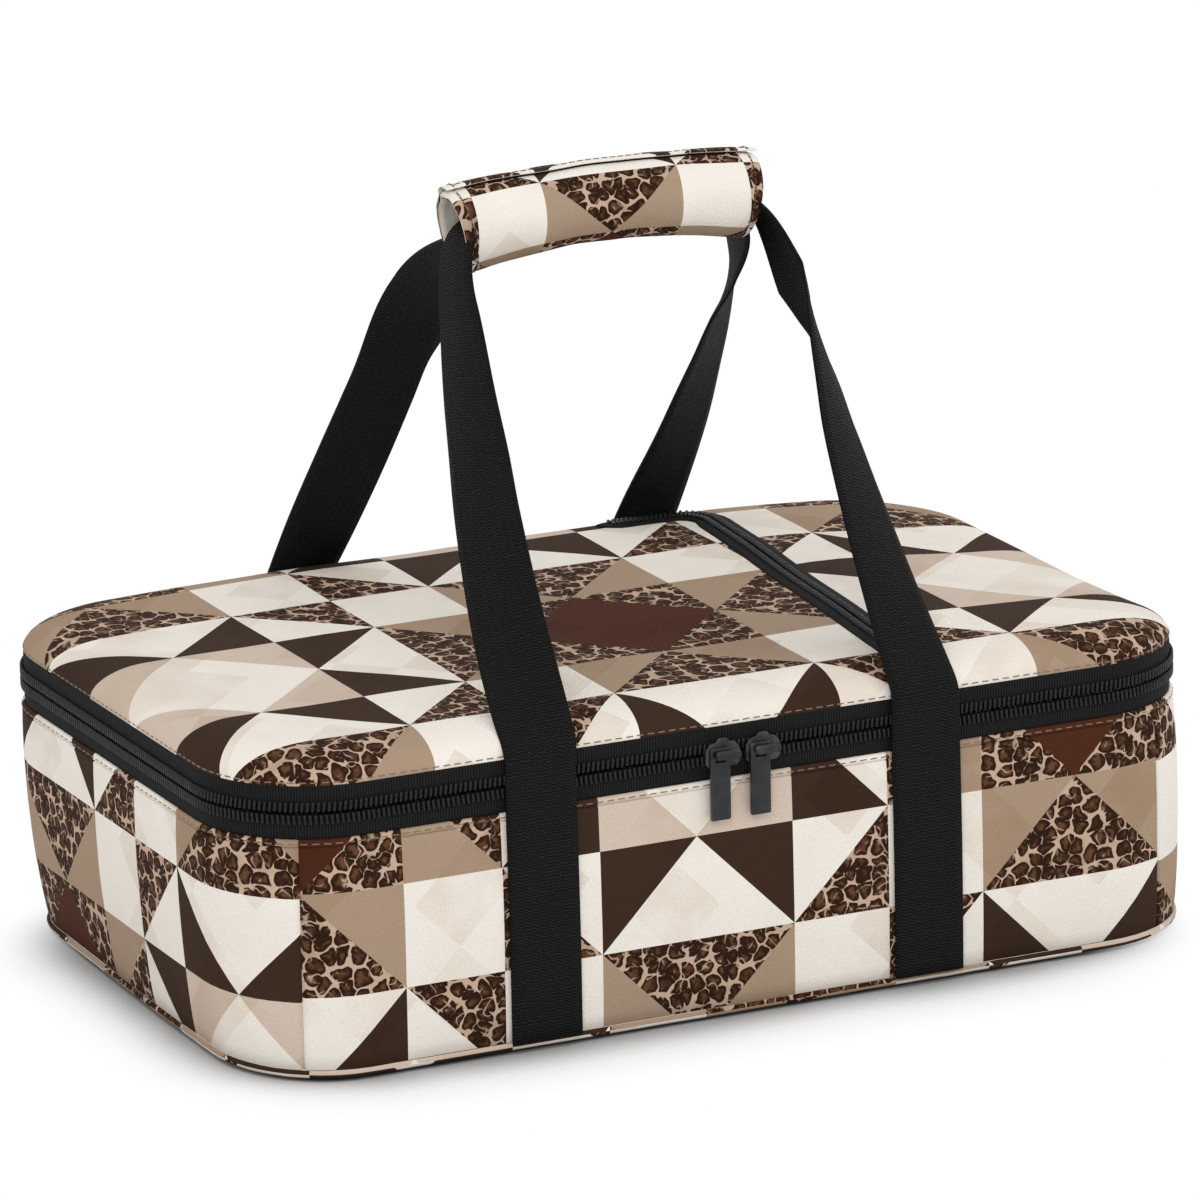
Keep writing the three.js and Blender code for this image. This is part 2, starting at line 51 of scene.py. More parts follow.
# rounded rectangle that the walls, rim zip and lid all follow, metres
bag = {
    "length": 0.4246, "width": 0.267, "corner": 0.050, "cornerSteps": 12, "sideStep": 0.010,
    "wallTop": 0.0975, "bandTop": 0.1188, "lidTop": 0.1310, "seamAngle": 30, "markGap": 0.0032,
}
halfLength = bag["length"] / 2
halfWidth = bag["width"] / 2
straightX = bag["length"] - 2 * bag["corner"]
straightY = bag["width"] - 2 * bag["corner"]
cornerLength = math.pi / 2 * bag["corner"]
perimeter = 2 * (straightX + straightY) + 4 * cornerLength
backCorner = straightX / 2
zipSplit = (bag["wallTop"] + bag["bandTop"]) / 2


def outlineAt(distance):
    # counter-clockwise from the middle of the back: place and outward direction
    rest = (distance + straightX / 2) % perimeter
    x, y = halfLength - bag["corner"], halfWidth
    along = Vector((-1.0, 0.0))
    for side in (straightX, straightY, straightX, straightY):
        out = Vector((along.y, -along.x))
        if rest <= side:
            return Vector((x, y)) + along * rest, out
        x, y = Vector((x, y)) + along * side
        rest -= side
        centre = Vector((x, y)) - out * bag["corner"]
        turn = min(rest, cornerLength) / bag["corner"]
        facing = out * math.cos(turn) + along * math.sin(turn)
        if rest <= cornerLength:
            return centre + facing * bag["corner"], facing
        rest -= cornerLength
        x, y = centre + along * bag["corner"]
        along = Vector((-along.y, along.x))
    return Vector((halfLength - bag["corner"], halfWidth)), Vector((0.0, 1.0))


def rimPoint(distance, inset, z):
    place, out = outlineAt(distance)
    flat = place - out * inset
    return Vector((flat.x, flat.y, z))


def evenShares(count):
    # even steps from 0 to 1
    return [step / count for step in range(count + 1)]


def marksBetween(first, last):
    # corner steps and even side steps between two distances
    marks = []
    start = backCorner - perimeter
    for lap in range(3):
        for side in (straightY, straightX, straightY, straightX):
            marks += [start + cornerLength * share for share in evenShares(bag["cornerSteps"])]
            start += cornerLength
            marks += [start + side * share for share in evenShares(round(side / bag["sideStep"]))[1:-1]]
            start += side
    inner = [mark for mark in marks if first + bag["markGap"] < mark < last - bag["markGap"]]
    return [first] + inner + [last]


roundMarks = marksBetween(0, perimeter)


# mesh helpers
def loft(bm, rows):
    # the first row is a chain of edges, and each later row is extruded from the one before
    flat = bm.verts.layers.float_vector["flat"]
    line = []
    for place, spot in rows[0]:
        vert = bm.verts.new(place)
        vert[flat] = (spot[0], spot[1], 0)
        line.append(vert)
    edges = [bm.edges.new(pair) for pair in zip(line, line[1:])]
    for row in rows[1:]:
        made = bmesh.ops.extrude_edge_only(bm, edges=edges)["geom"]
        fresh = {part for part in made if isinstance(part, bmesh.types.BMVert)}
        edges = [part for part in made if isinstance(part, bmesh.types.BMEdge)
                 and part.verts[0] in fresh and part.verts[1] in fresh]
        line = [next(edge.other_vert(vert) for edge in vert.link_edges
                     if edge.other_vert(vert) in fresh) for vert in line]
        for vert, (place, spot) in zip(line, row):
            vert.co = place
            vert[flat] = (spot[0], spot[1], 0)


def startMesh():
    bm = bmesh.new()
    bm.verts.layers.float_vector.new("flat")
    bm.loops.layers.uv.new("flat")
    return bm


def layFlat(bm):
    # the cut cloth's own flat coordinates become the UV map
    flat = bm.verts.layers.float_vector["flat"]
    uv = bm.loops.layers.uv["flat"]
    for face in bm.faces:
        for loop in face.loops:
            loop[uv].uv = loop.vert[flat].xy


def finishPiece(name, bm, finishes, body, nodes=(), merge=1e-6):
    layFlat(bm)
    bmesh.ops.remove_doubles(bm, verts=bm.verts, dist=merge)
    bmesh.ops.recalc_face_normals(bm, faces=bm.faces)
    for face in bm.faces:
        face.smooth = True
    mesh = bpy.data.meshes.new(name)
    bm.to_mesh(mesh)
    bm.free()
    piece = bpy.data.objects.new(name, mesh)
    scene.collection.objects.link(piece)
    for finish in finishes:
        mesh.materials.append(finish)
    if body:
        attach(piece, body)
    if nodes:
        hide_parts(*nodes)
    return piece


def thicken(piece, thickness, offset=-1):
    layer = piece.modifiers.new("wall", "SOLIDIFY")
    layer.thickness = thickness
    layer.offset = offset
    layer.use_even_offset = False


def faceWay(piece, way):
    # turns a sheet's faces up (1) or down (-1)
    if sum(polygon.normal.z * polygon.area for polygon in piece.data.polygons) * way < 0:
        piece.data.flip_normals()


def clothPiece(rows, thick, name, finishes, body, nodes=(), merge=1e-6, way=0):
    # a sheet lofted from rows, then given its thickness
    bm = startMesh()
    loft(bm, rows)
    piece = finishPiece(name, bm, finishes, body, nodes, merge)
    faceWay(piece, way)
    if thick:
        thicken(piece, thick)
    return piece


def capEnds(bm):
    bmesh.ops.remove_doubles(bm, verts=bm.verts, dist=1e-6)
    bmesh.ops.holes_fill(bm, edges=[edge for edge in bm.edges if edge.is_boundary], sides=0)


def ringAt(inset, z):
    return [(rimPoint(mark, inset, z), (0, 0)) for mark in roundMarks]


def shrinkRow(row, share):
    # pulls a ring of the outline towards the middle line of the bag
    spine = halfLength - halfWidth
    pulled = []
    for place, spot in row:
        goal = Vector((max(-spine, min(spine, place.x)), 0, place.z))
        moved = place.lerp(goal, share)
        pulled.append((moved, (moved.x, moved.y)))
    return pulled


def closeOver(rows, ring, shares, lift=lambda place: 0.0):
    # ever smaller rings close a sheet down to the middle line
    for share in shares:
        row = shrinkRow(ring, share)
        for place, spot in row:
            place.z += lift(place)
        rows.append(row)


def profileRows(profile, spotOf):
    # a profile of insets and heights carried round the bag
    rows = []
    run = 0.0
    before = profile[0]
    for inset, z in profile:
        run += math.hypot(inset - before[0], z - before[1])
        before = (inset, z)
        rows.append([(spotOf(mark, inset, z), (mark, run)) for mark in roundMarks])
    return rows


def seat(place, *axes):
    # stands local x, y and z along the three axes at a place
    return Matrix.Translation(place) @ Matrix(axes).transposed().to_4x4()


def roundBar(bm, matrix, size, bevel, segments=1):
    # a bar with rounded edges, for teeth, stitches and fittings
    made = bmesh.ops.create_cube(bm, size=1, matrix=matrix @ Matrix.Diagonal((*size, 1)))
    edges = list({edge for vert in made["verts"] for edge in vert.link_edges})
    softenEdges(bm, edges, bevel, segments)


def softenEdges(bm, edges, bevel, segments):
    bmesh.ops.bevel(bm, geom=edges, offset=bevel, offset_type="OFFSET", segments=segments,
                    profile=0.5, affect="EDGES", material=-1, clamp_overlap=True)


def barPiece(name, stands, size, bevel, finish, body, nodes=()):
    # one piece of many like bars: teeth or stitches
    bm = startMesh()
    for stand in stands:
        roundBar(bm, stand, size, bevel)
    finishPiece(name, bm, [finish], body, nodes)


def ease(value):
    value = max(0.0, min(1.0, value))
    return value * value * (3 - 2 * value)


def wave(place, size, amount, seed=0.0):
    return noise.noise(Vector(place) / size + Vector((seed, seed * 1.7, seed * 0.3))) * amount


# shader helpers
def put(tree, kind, sockets=None, **settings):
    node = tree.nodes.new(kind)
    for name, value in settings.items():
        setattr(node, name, value)
    for key, value in (sockets or {}).items():
        if isinstance(value, bpy.types.NodeSocket):
            tree.links.new(value, node.inputs[key])
        else:
            node.inputs[key].default_value = value
    return node


def calc(tree, operation, *values, kind="ShaderNodeMath"):
    return put(tree, kind, dict(enumerate(values)), operation=operation).outputs[0]


def vectorCalc(tree, operation, first, second):
    return calc(tree, operation, first, second, kind="ShaderNodeVectorMath")


def blendColour(tree, amount, first, second, mode="MIX"):
    node = put(tree, "ShaderNodeMix", {0: amount, 6: first, 7: second}, data_type="RGBA",
               blend_type=mode)
    return node.outputs[2]


def fade(tree, value, low, high, toLow=0.0, toHigh=1.0):
    node = put(tree, "ShaderNodeMapRange", {0: value, 1: low, 2: high, 3: toLow, 4: toHigh},
               interpolation_type="SMOOTHSTEP")
    return node.outputs[0]


def speckle(tree, place, scale, detail=2.0, **settings):
    return put(tree, "ShaderNodeTexNoise", {"Vector": place, "Scale": scale, "Detail": detail},
               **settings).outputs[0]


def partsOf(tree, place):
    return put(tree, "ShaderNodeSeparateXYZ", {0: place}).outputs


def useGroup(tree, group, *values):
    return put(tree, "ShaderNodeGroup", dict(enumerate(values)), node_tree=group).outputs


def paint(red, green, blue):
    # screen colour to the linear value a socket takes
    return tuple((c / 255 / 12.92) if c < 10.3 else ((c / 255 + 0.055) / 1.055) ** 2.4
                 for c in (red, green, blue)) + (1.0,)


def newGroup(name, label, value, *outputs):
    # takes a vector and one number
    tree = bpy.data.node_groups.new(name, "ShaderNodeTree")
    sockets = tree.interface
    sockets.new_socket("Vector", in_out="INPUT", socket_type="NodeSocketVector")
    sockets.new_socket(label, in_out="INPUT", socket_type="NodeSocketFloat").default_value = value
    for output in outputs:
        kind = "NodeSocketColor" if output == "Color" else "NodeSocketFloat"
        sockets.new_socket(output, in_out="OUTPUT", socket_type=kind)
    return tree, tree.nodes.new("NodeGroupInput").outputs, tree.nodes.new("NodeGroupOutput").inputs


def freshTree(owner):
    owner.use_nodes = True
    owner.node_tree.nodes.clear()
    return owner.node_tree


def sendOut(tree, shader, kind="ShaderNodeOutputMaterial"):
    put(tree, kind, {0: shader})


cloth = {
    "cream": paint(238, 232, 223), "pale": paint(208, 191, 176), "tan": paint(168, 145, 123),
    "brown": paint(76, 40, 26), "espresso": paint(59, 42, 31),
    "leopardGround": paint(196, 170, 148), "leopardSpot": paint(46, 26, 15),
    "leopardHeart": paint(100, 67, 46),
}


def makeLeopard():
    tree, given, out = newGroup("leopardSpots", "Spots per metre", 156.0, "Color")
    place = given[0]
    drift = put(tree, "ShaderNodeTexNoise", {"Vector": place, "Scale": 150.0, "Detail": 1.0},
                noise_dimensions="2D")
    centred = vectorCalc(tree, "SUBTRACT", drift.outputs["Color"], (0.5, 0.5, 0.5))
    bent = vectorCalc(tree, "ADD", place, vectorCalc(tree, "MULTIPLY", centred, (0.0044, 0.0044, 0.0044)))
    cells = {"Vector": bent, "Scale": given[1], "Randomness": 0.86}
    edge, middle = [put(tree, "ShaderNodeTexVoronoi", cells, feature=kind,
                        voronoi_dimensions="2D").outputs["Distance"]
                    for kind in ("DISTANCE_TO_EDGE", "F1")]
    # corners of the cells are rounded off, and the outline wobbles
    rounded = calc(tree, "SUBTRACT", edge, fade(tree, middle, 0.34, 0.85, 0.0, 0.26))
    rough = calc(tree, "MULTIPLY_ADD", speckle(tree, place, 420.0, 1.0), 0.20, rounded)
    whole = fade(tree, rough, 0.036, 0.112)
    # some spots are split into open rings
    split = speckle(tree, place, 128.0, 0.5, noise_dimensions="2D")
    gap = calc(tree, "ABSOLUTE", calc(tree, "SUBTRACT", split, 0.54))
    patchy = speckle(tree, place, 178.0)
    crack = calc(tree, "MULTIPLY", fade(tree, gap, 0.006, 0.032, 0.8, 0.0),
                 fade(tree, patchy, 0.47, 0.60))
    spot = calc(tree, "SUBTRACT", whole, crack)
    # a flecked, paler heart
    fleck = calc(tree, "SUBTRACT", speckle(tree, place, 560.0, 1.0), 0.5)
    inner = calc(tree, "MULTIPLY_ADD", fleck, 0.60, rough)
    heart = calc(tree, "MULTIPLY", fade(tree, inner, 0.26, 0.54), fade(tree, patchy, 0.30, 0.56))
    warm = fade(tree, speckle(tree, place, 70.0), 0.45, 0.75)
    ground = blendColour(tree, warm, cloth["leopardGround"], cloth["tan"])
    dark = blendColour(tree, heart, cloth["leopardSpot"], cloth["leopardHeart"])
    tree.links.new(blendColour(tree, spot, ground, dark), out["Color"])
    return tree


# quarters of each cell in the order left, bottom, top, right: c cream, p pale, t tan, b brown,
# e espresso, l leopard. Cells run out from the middle of a block, which is mirrored both ways.
quilt = {
    "cell": 0.042,
    "starBlock": ("bbll", "tltl", "ltlt", "cccc"),
    "squareBlock": ("ccpp", "ecec", "cece", "ccll"),
    "veil": 0.0265,
}


def quiltRamp(tree, place, cells):
    palette = {"c": "cream", "p": "pale", "t": "tan", "b": "brown", "e": "espresso", "l": None}
    ramp = put(tree, "ShaderNodeValToRGB", {0: place})
    ramp.color_ramp.interpolation = "CONSTANT"
    stops = ramp.color_ramp.elements
    stops.remove(stops[1])
    letters = "".join(cells)
    for index, letter in enumerate(letters):
        element = stops[0] if index == 0 else stops.new(index / len(letters))
        name = palette[letter]
        shade = cloth[name] if name else cloth["leopardGround"]
        element.color = (*shade[:3], 1.0 if name else 0.0)
    return ramp.outputs["Color"], ramp.outputs["Alpha"]


def makeQuilt(leopard):
    tree, given, out = newGroup("quiltPrint", "Cell", quilt["cell"], "Color", "Plain")
    parts = partsOf(tree, given[0])
    across = calc(tree, "DIVIDE", parts[0], given[1])
    up = calc(tree, "DIVIDE", parts[1], given[1])
    folded = [calc(tree, "PINGPONG", value, 2.0) for value in (across, up)]
    cell = [calc(tree, "MINIMUM", calc(tree, "FLOOR", value), 1.0) for value in folded]
    inside = [calc(tree, "SUBTRACT", value, whole) for value, whole in zip(folded, cell)]
    under = calc(tree, "GREATER_THAN", inside[0], inside[1])
    beyond = calc(tree, "GREATER_THAN", calc(tree, "ADD", inside[0], inside[1]), 1.0)
    quarter = calc(tree, "MULTIPLY_ADD", beyond, 2.0, under)
    order = calc(tree, "MULTIPLY_ADD", cell[1], 2.0, cell[0])
    index = calc(tree, "MULTIPLY_ADD", order, 4.0, quarter)
    place = calc(tree, "DIVIDE", calc(tree, "ADD", index, 0.5), 16.0)
    starColour, starPlain = quiltRamp(tree, place, quilt["starBlock"])
    squareColour, squarePlain = quiltRamp(tree, place, quilt["squareBlock"])
    blocks = calc(tree, "ADD", *[calc(tree, "FLOOR", calc(tree, "MULTIPLY_ADD", value, 0.25, 0.5))
                                 for value in (across, up)])
    other = calc(tree, "FLOORED_MODULO", blocks, 2.0)
    plain = calc(tree, "ADD", calc(tree, "MULTIPLY", starPlain, calc(tree, "SUBTRACT", 1.0, other)),
                 calc(tree, "MULTIPLY", squarePlain, other))
    colour = blendColour(tree, other, starColour, squareColour)
    # faint washes laid over the plain patches
    turned = put(tree, "ShaderNodeMapping", {"Vector": given[0], "Rotation": (0, 0, math.pi / 4),
                                            "Location": (0.009, 0.004, 0)}).outputs[0]
    snapped = vectorCalc(tree, "SNAP", turned, (quilt["veil"],) * 3)
    veil = put(tree, "ShaderNodeTexWhiteNoise", {"Vector": snapped}, noise_dimensions="2D").outputs[0]
    wash = fade(tree, veil, 0.55, 0.62, 0.0, 0.55)
    stain = speckle(tree, given[0], 24.0, 4.0)
    soft = calc(tree, "MULTIPLY", wash, fade(tree, stain, 0.3, 0.65))
    washed = blendColour(tree, soft, colour, paint(232, 221, 210), "MULTIPLY")
    spots = useGroup(tree, leopard, given[0])[0]
    tree.links.new(blendColour(tree, plain, spots, washed), out["Color"])
    tree.links.new(plain, out["Plain"])
    return tree


def makeWeave():
    tree, given, out = newGroup("plainWeave", "Thread", 0.0008, "Height", "Fuzz")
    parts = partsOf(tree, given[0])
    rate = calc(tree, "DIVIDE", 2 * math.pi, given[1])
    warp, weft = [calc(tree, "SINE", calc(tree, "MULTIPLY", parts[axis], rate)) for axis in (0, 1)]
    fuzz = speckle(tree, given[0], 900.0, 3.0)
    woven = calc(tree, "MULTIPLY", warp, weft)
    tree.links.new(calc(tree, "MULTIPLY_ADD", fuzz, 0.8, woven), out["Height"])
    tree.links.new(fuzz, out["Fuzz"])
    return tree


def makeRibs():
    # rows of slanted picks across a webbing, with flecks of light thread
    tree, given, out = newGroup("webbingPicks", "Pick", 0.0013, "Height", "Fleck")
    parts = partsOf(tree, given[0])
    rate = calc(tree, "DIVIDE", 2 * math.pi, given[1])
    zigzag = calc(tree, "PINGPONG", parts[0], 0.0016)
    slant = calc(tree, "MULTIPLY_ADD", zigzag, 0.42, parts[1])
    bent = calc(tree, "MULTIPLY_ADD", speckle(tree, given[0], 260.0), 0.0016, slant)
    ribs = calc(tree, "SINE", calc(tree, "MULTIPLY", bent, rate))
    fleck = speckle(tree, given[0], 800.0)
    bright = calc(tree, "MULTIPLY", fade(tree, fleck, 0.5, 0.72), fade(tree, ribs, 0.0, 1.0))
    tree.links.new(calc(tree, "MULTIPLY_ADD", fleck, 0.9, ribs), out["Height"])
    tree.links.new(bright, out["Fleck"])
    return tree


quiltGroup = makeQuilt(makeLeopard())
weaveGroup = makeWeave()
ribGroup = makeRibs()


def startFinish(name, roughness, **fixed):
    finish = bpy.data.materials.new(name)
    tree = freshTree(finish)
    surface = put(tree, "ShaderNodeBsdfPrincipled", {"Roughness": roughness})
    for label, value in fixed.items():
        surface.inputs[label.replace("_", " ")].default_value = value
    sendOut(tree, surface.outputs[0])
    return finish, tree, surface.inputs


def dress(tree, inputs, colour, roughness=None, height=None, depth=0.0, strength=0.0):
    tree.links.new(colour, inputs["Base Color"])
    if roughness is not None:
        tree.links.new(roughness, inputs["Roughness"])
    if depth:
        bump = put(tree, "ShaderNodeBump", {"Height": height, "Distance": depth, "Strength": strength})
        tree.links.new(bump.outputs[0], inputs["Normal"])


def flatMap(tree):
    return put(tree, "ShaderNodeUVMap", uv_map="flat").outputs[0]


def objectMap(tree):
    return put(tree, "ShaderNodeTexCoord").outputs["Object"]


def printFinish(name, offset, cell=quilt["cell"]):
    finish, tree, inputs = startFinish(name, 0.78, Sheen_Weight=0.01, Sheen_Roughness=0.5,
                                       Specular_IOR_Level=0.06)
    spot = put(tree, "ShaderNodeMapping", {"Vector": flatMap(tree), "Location": (*offset, 0)}).outputs[0]
    inks = useGroup(tree, quiltGroup, spot, cell)
    weave = useGroup(tree, weaveGroup, spot, 0.0011)
    tone = fade(tree, speckle(tree, spot, 38.0, 5.0), 0.25, 0.75, 0.0, 0.16)
    shaded = blendColour(tree, tone, inks["Color"], paint(226, 216, 206), "MULTIPLY")
    # painted shade: the print is darkened in the low parts of the weave, between the threads
    thread = blendColour(tree, fade(tree, weave["Height"], -0.6, 1.6, 0.10, 0.0), shaded,
                         paint(150, 138, 128), "MULTIPLY")
    dress(tree, inputs, thread, fade(tree, weave["Fuzz"], 0.3, 0.7, 0.70, 0.86), weave["Height"],
          0.00012, 0.5)
    return finish


def plainClothFinish(name, base, light, thread):
    finish, tree, inputs = startFinish(name, 0.8, Sheen_Weight=0.05, Specular_IOR_Level=0.3)
    weave = useGroup(tree, weaveGroup, flatMap(tree), thread)
    # painted shade: darker in the low parts of the weave, lighter on the raised threads
    dress(tree, inputs, blendColour(tree, fade(tree, weave["Height"], -0.2, 1.6), base, light),
          fade(tree, weave["Fuzz"], 0.3, 0.7, 0.68, 0.9), weave["Height"], 0.0002, 0.7)
    return finish


def tapeFinish():
    # ribs run across the tape
    finish, tree, inputs = startFinish("zipTapeCloth", 0.75, Specular_IOR_Level=0.13)
    spot = flatMap(tree)
    fuzz = speckle(tree, spot, 900.0, 3.0)
    bent = calc(tree, "MULTIPLY_ADD", fuzz, 0.0006, partsOf(tree, spot)[0])
    ribs = calc(tree, "SINE", calc(tree, "MULTIPLY", bent, 2 * math.pi / 0.0012))
    height = calc(tree, "MULTIPLY_ADD", fuzz, 0.9, ribs)
    # painted shade: darker in the hollows between the ribs, lighter on their crests
    black = blendColour(tree, fade(tree, height, -0.4, 1.6), paint(14, 14, 14), paint(29, 29, 29))
    dress(tree, inputs, black, fade(tree, height, -0.5, 1.5, 0.9, 0.7), height, 0.00018, 0.4)
    return finish


def webbingFinish():
    finish, tree, inputs = startFinish("blackWebbing", 0.85, Specular_IOR_Level=0.16)
    picks = useGroup(tree, ribGroup, flatMap(tree))
    # painted shade: darker in the hollows between the picks, lighter on their crests
    base = blendColour(tree, fade(tree, picks["Height"], -0.8, 1.5), paint(6, 6, 6), paint(19, 19, 19))
    flecked = blendColour(tree, calc(tree, "MULTIPLY", picks["Fleck"], 0.45), base, paint(48, 48, 48))
    dress(tree, inputs, flecked, fade(tree, picks["Height"], -0.5, 1.5, 0.9, 0.62), picks["Height"],
          0.00035, 0.8)
    return finish


def metalFinish():
    finish, tree, inputs = startFinish("darkEnamel", 0.42, Metallic=0.35)
    spot = objectMap(tree)
    grain = speckle(tree, spot, 1400.0, 3.0)
    blotches = speckle(tree, spot, 160.0, 4.0)
    # sharp convex edges are painted a lighter grey, in patches
    edge = put(tree, "ShaderNodeNewGeometry").outputs["Pointiness"]
    paleEdges = calc(tree, "MULTIPLY", fade(tree, edge, 0.52, 0.62), fade(tree, blotches, 0.4, 0.6))
    base = blendColour(tree, fade(tree, blotches, 0.3, 0.7), paint(25, 27, 28), paint(38, 40, 42))
    paleEdged = blendColour(tree, calc(tree, "MULTIPLY", paleEdges, 0.6), base, paint(120, 122, 125))
    dress(tree, inputs, paleEdged, fade(tree, grain, 0.3, 0.7, 0.36, 0.52), grain, 0.00004, 0.4)
    return finish


def foilFinish():
    finish, tree, inputs = startFinish("liningFoil", 0.32, Metallic=0.85)
    spot = objectMap(tree)
    crease = put(tree, "ShaderNodeTexNoise", {"Vector": spot, "Scale": 46.0, "Detail": 6.0,
                                             "Roughness": 0.62}).outputs[0]
    fine = speckle(tree, spot, 700.0)
    foil = blendColour(tree, fade(tree, crease, 0.3, 0.7), paint(176, 178, 181), paint(214, 216, 219))
    dress(tree, inputs, foil, fade(tree, fine, 0.3, 0.7, 0.26, 0.42),
          calc(tree, "MULTIPLY_ADD", fine, 0.06, crease), 0.004, 0.35)
    return finish


def speckFinish(name, roughness, scale, detail, dark, light, gloss=None, depth=0.0, strength=0.0,
                **fixed):
    # two tones mixed by a fine noise
    finish, tree, inputs = startFinish(name, roughness, **fixed)
    speck = speckle(tree, objectMap(tree), scale, detail)
    dress(tree, inputs, blendColour(tree, speck, paint(*dark), paint(*light)),
          gloss and fade(tree, speck, 0.3, 0.7, *gloss), speck, depth, strength)
    return finish


frontPrint = printFinish("frontWallPrint", (0.021, 0.050))
sidePrint = printFinish("sideWallPrint", (0.060, 0.010))
backPrint = printFinish("backWallPrint", (0.105, 0.084))
lidPrint = printFinish("lidPrint", (0.0, 0.0219), 0.0438)
wrapPrint = printFinish("wrapPrint", (-0.0062, 0.042), 0.030)
pipingPrint = printFinish("pipingPrint", (0.0, 0.040))
paleCloth = plainClothFinish("paleLining", paint(206, 198, 188), paint(236, 230, 222), 0.0009)
tapeCloth = tapeFinish()
baseCloth = plainClothFinish("baseCloth", paint(22, 22, 24), paint(40, 40, 42), 0.0016)
webbing = webbingFinish()
coilNylon = speckFinish("coilNylon", 0.4, 700.0, 2.0, (12, 12, 13), (26, 26, 27), gloss=(0.32, 0.5),
                        Specular_IOR_Level=0.26)
darkEnamel = metalFinish()
liningFoil = foilFinish()
stiffBoard = speckFinish("stiffBoard", 0.55, 300.0, 4.0, (46, 46, 48), (70, 70, 72), depth=0.0003,
                         strength=0.4)
sandThread, brownThread = [
    speckFinish(name, 0.7, 1500.0, 2.0, dark, light, depth=0.0001, strength=0.5, Sheen_Weight=0.1)
    for name, dark, light in (("sandThread", (104, 88, 74), (134, 116, 100)),
                              ("brownThread", (52, 34, 26), (86, 60, 46)))]
print("finishes made")


# printed walls: one panel between each pair of upright seams
wall = {
    "foot": 0.0044, "puff": 0.0011, "endPuff": 0.0012, "ripple": 0.0004, "fineRipple": 0.00012,
    "seamDip": 0.0010, "seamWide": 0.0011, "seamEdge": 0.0030, "seamRidge": 0.00025, "ridgeAt": 0.0018,
    "ridgeWide": 0.0014, "hemLine": 0.0030, "hemDip": 0.0008, "rows": 16, "thick": 0.0011,
    "tuck": {"front": -0.0014, "back": 0.0035, "left": 0.0053, "right": -0.0006}, "leftRoll": 0.0030,
}


def footTuck(distance):
    # how far the wall's foot stands in from the rim on each side, and a roll at the back of the left end
    place, out = outlineAt(distance)
    tuck = wall["tuck"]
    end = tuck["right"] if out.x > 0 else tuck["left"]
    face = tuck["back"] if out.y > 0 else tuck["front"]
    roll = wall["leftRoll"] * ease((place.y + 0.06) / 0.16) if out.x < 0 else 0.0
    return end * out.x ** 2 + face * out.y ** 2, roll * out.x ** 2


def wallInset(z, distance, seamAway):
    reach = (z - wall["foot"]) / (bag["wallTop"] - wall["foot"])
    place, out = outlineAt(distance)
    end = out.x * out.x
    tuck, roll = footTuck(distance)
    inset = tuck * (1 - reach) + roll * (1 - reach) ** 2
    inset -= (wall["puff"] + wall["endPuff"] * end) * max(0, math.sin(math.pi * reach)) ** 0.7
    inset += wall["seamDip"] * max(0, 1 - seamAway / wall["seamWide"])
    inset -= wall["seamRidge"] * max(0, 1 - abs(seamAway - wall["ridgeAt"]) / wall["ridgeWide"])
    spot = (place.x, place.y, z)
    ripple = wave(spot, 0.045, wall["ripple"]) + wave(spot, 0.013, wall["fineRipple"], 3)
    return inset + ripple * math.sin(math.pi * min(1, max(0, reach)))


def wallHeights():
    # heights with an extra inset: the turned-in foot, even rows, then the sewn hem
    low, top = wall["foot"], bag["wallTop"]
    hem = top - wall["hemLine"]
    foot = [(low - 0.0008, 0.0011), (low - 0.0003, 0.0004)]
    even = [(low + (hem - 0.0012 - low) * share, 0) for share in evenShares(wall["rows"])]
    return foot + even + [
        (hem - 0.0005, 0), (hem, wall["hemDip"]), (hem + 0.0005, -0.0001), (top - 0.0012, -0.00015),
        (top - 0.0003, 0.0002), (top + 0.0001, 0.0009)]


seamReach = cornerLength * bag["seamAngle"] / 90
frontSeam = backCorner + 2 * cornerLength + straightY - seamReach
backSeam = backCorner + seamReach
seams = [-backSeam, backSeam, frontSeam, perimeter - frontSeam, perimeter - backSeam]


def makeWalls():
    bm = startMesh()
    finishes = [frontPrint, backPrint, sidePrint]
    for first, last, finish in zip(seams, seams[1:], (backPrint, sidePrint, frontPrint, sidePrint)):
        marks = marksBetween(first, last)
        marks[1:1] = [first + wall["seamWide"], first + wall["seamEdge"]]
        marks[-1:-1] = [last - wall["seamEdge"], last - wall["seamWide"]]
        start = len(bm.faces)
        rows = []
        for z, extra in wallHeights():
            row = []
            for mark in marks:
                away = min(mark - first, last - mark)
                inset = wallInset(max(wall["foot"], z), mark, away) + extra
                row.append((rimPoint(mark, inset, z), (mark - (first + last) / 2, z)))
            rows.append(row)
        loft(bm, rows)
        bm.faces.ensure_lookup_table()
        for face in bm.faces[start:]:
            face.material_index = finishes.index(finish)
    piece = finishPiece("printed_walls", bm, finishes, "bag",
                        ["front_wall_panel", "left_wall_panel", "back_wall_panel", "right_wall_panel"])
    thicken(piece, wall["thick"])


makeWalls()
print("walls made")


# rolled piping and the cloth under the bag, whose rows are insets and heights
foot = {
    "pipeRadius": 0.0017, "pipeInset": 0.0006, "pipeHeight": 0.0026, "sides": 10, "clothThick": 0.0010,
    "clothRows": ((0.0017, 0.0012), (0.0027, 0.0004), (0.0043, 0.0), (0.0085, 0.0), (0.0265, 0.0)),
}


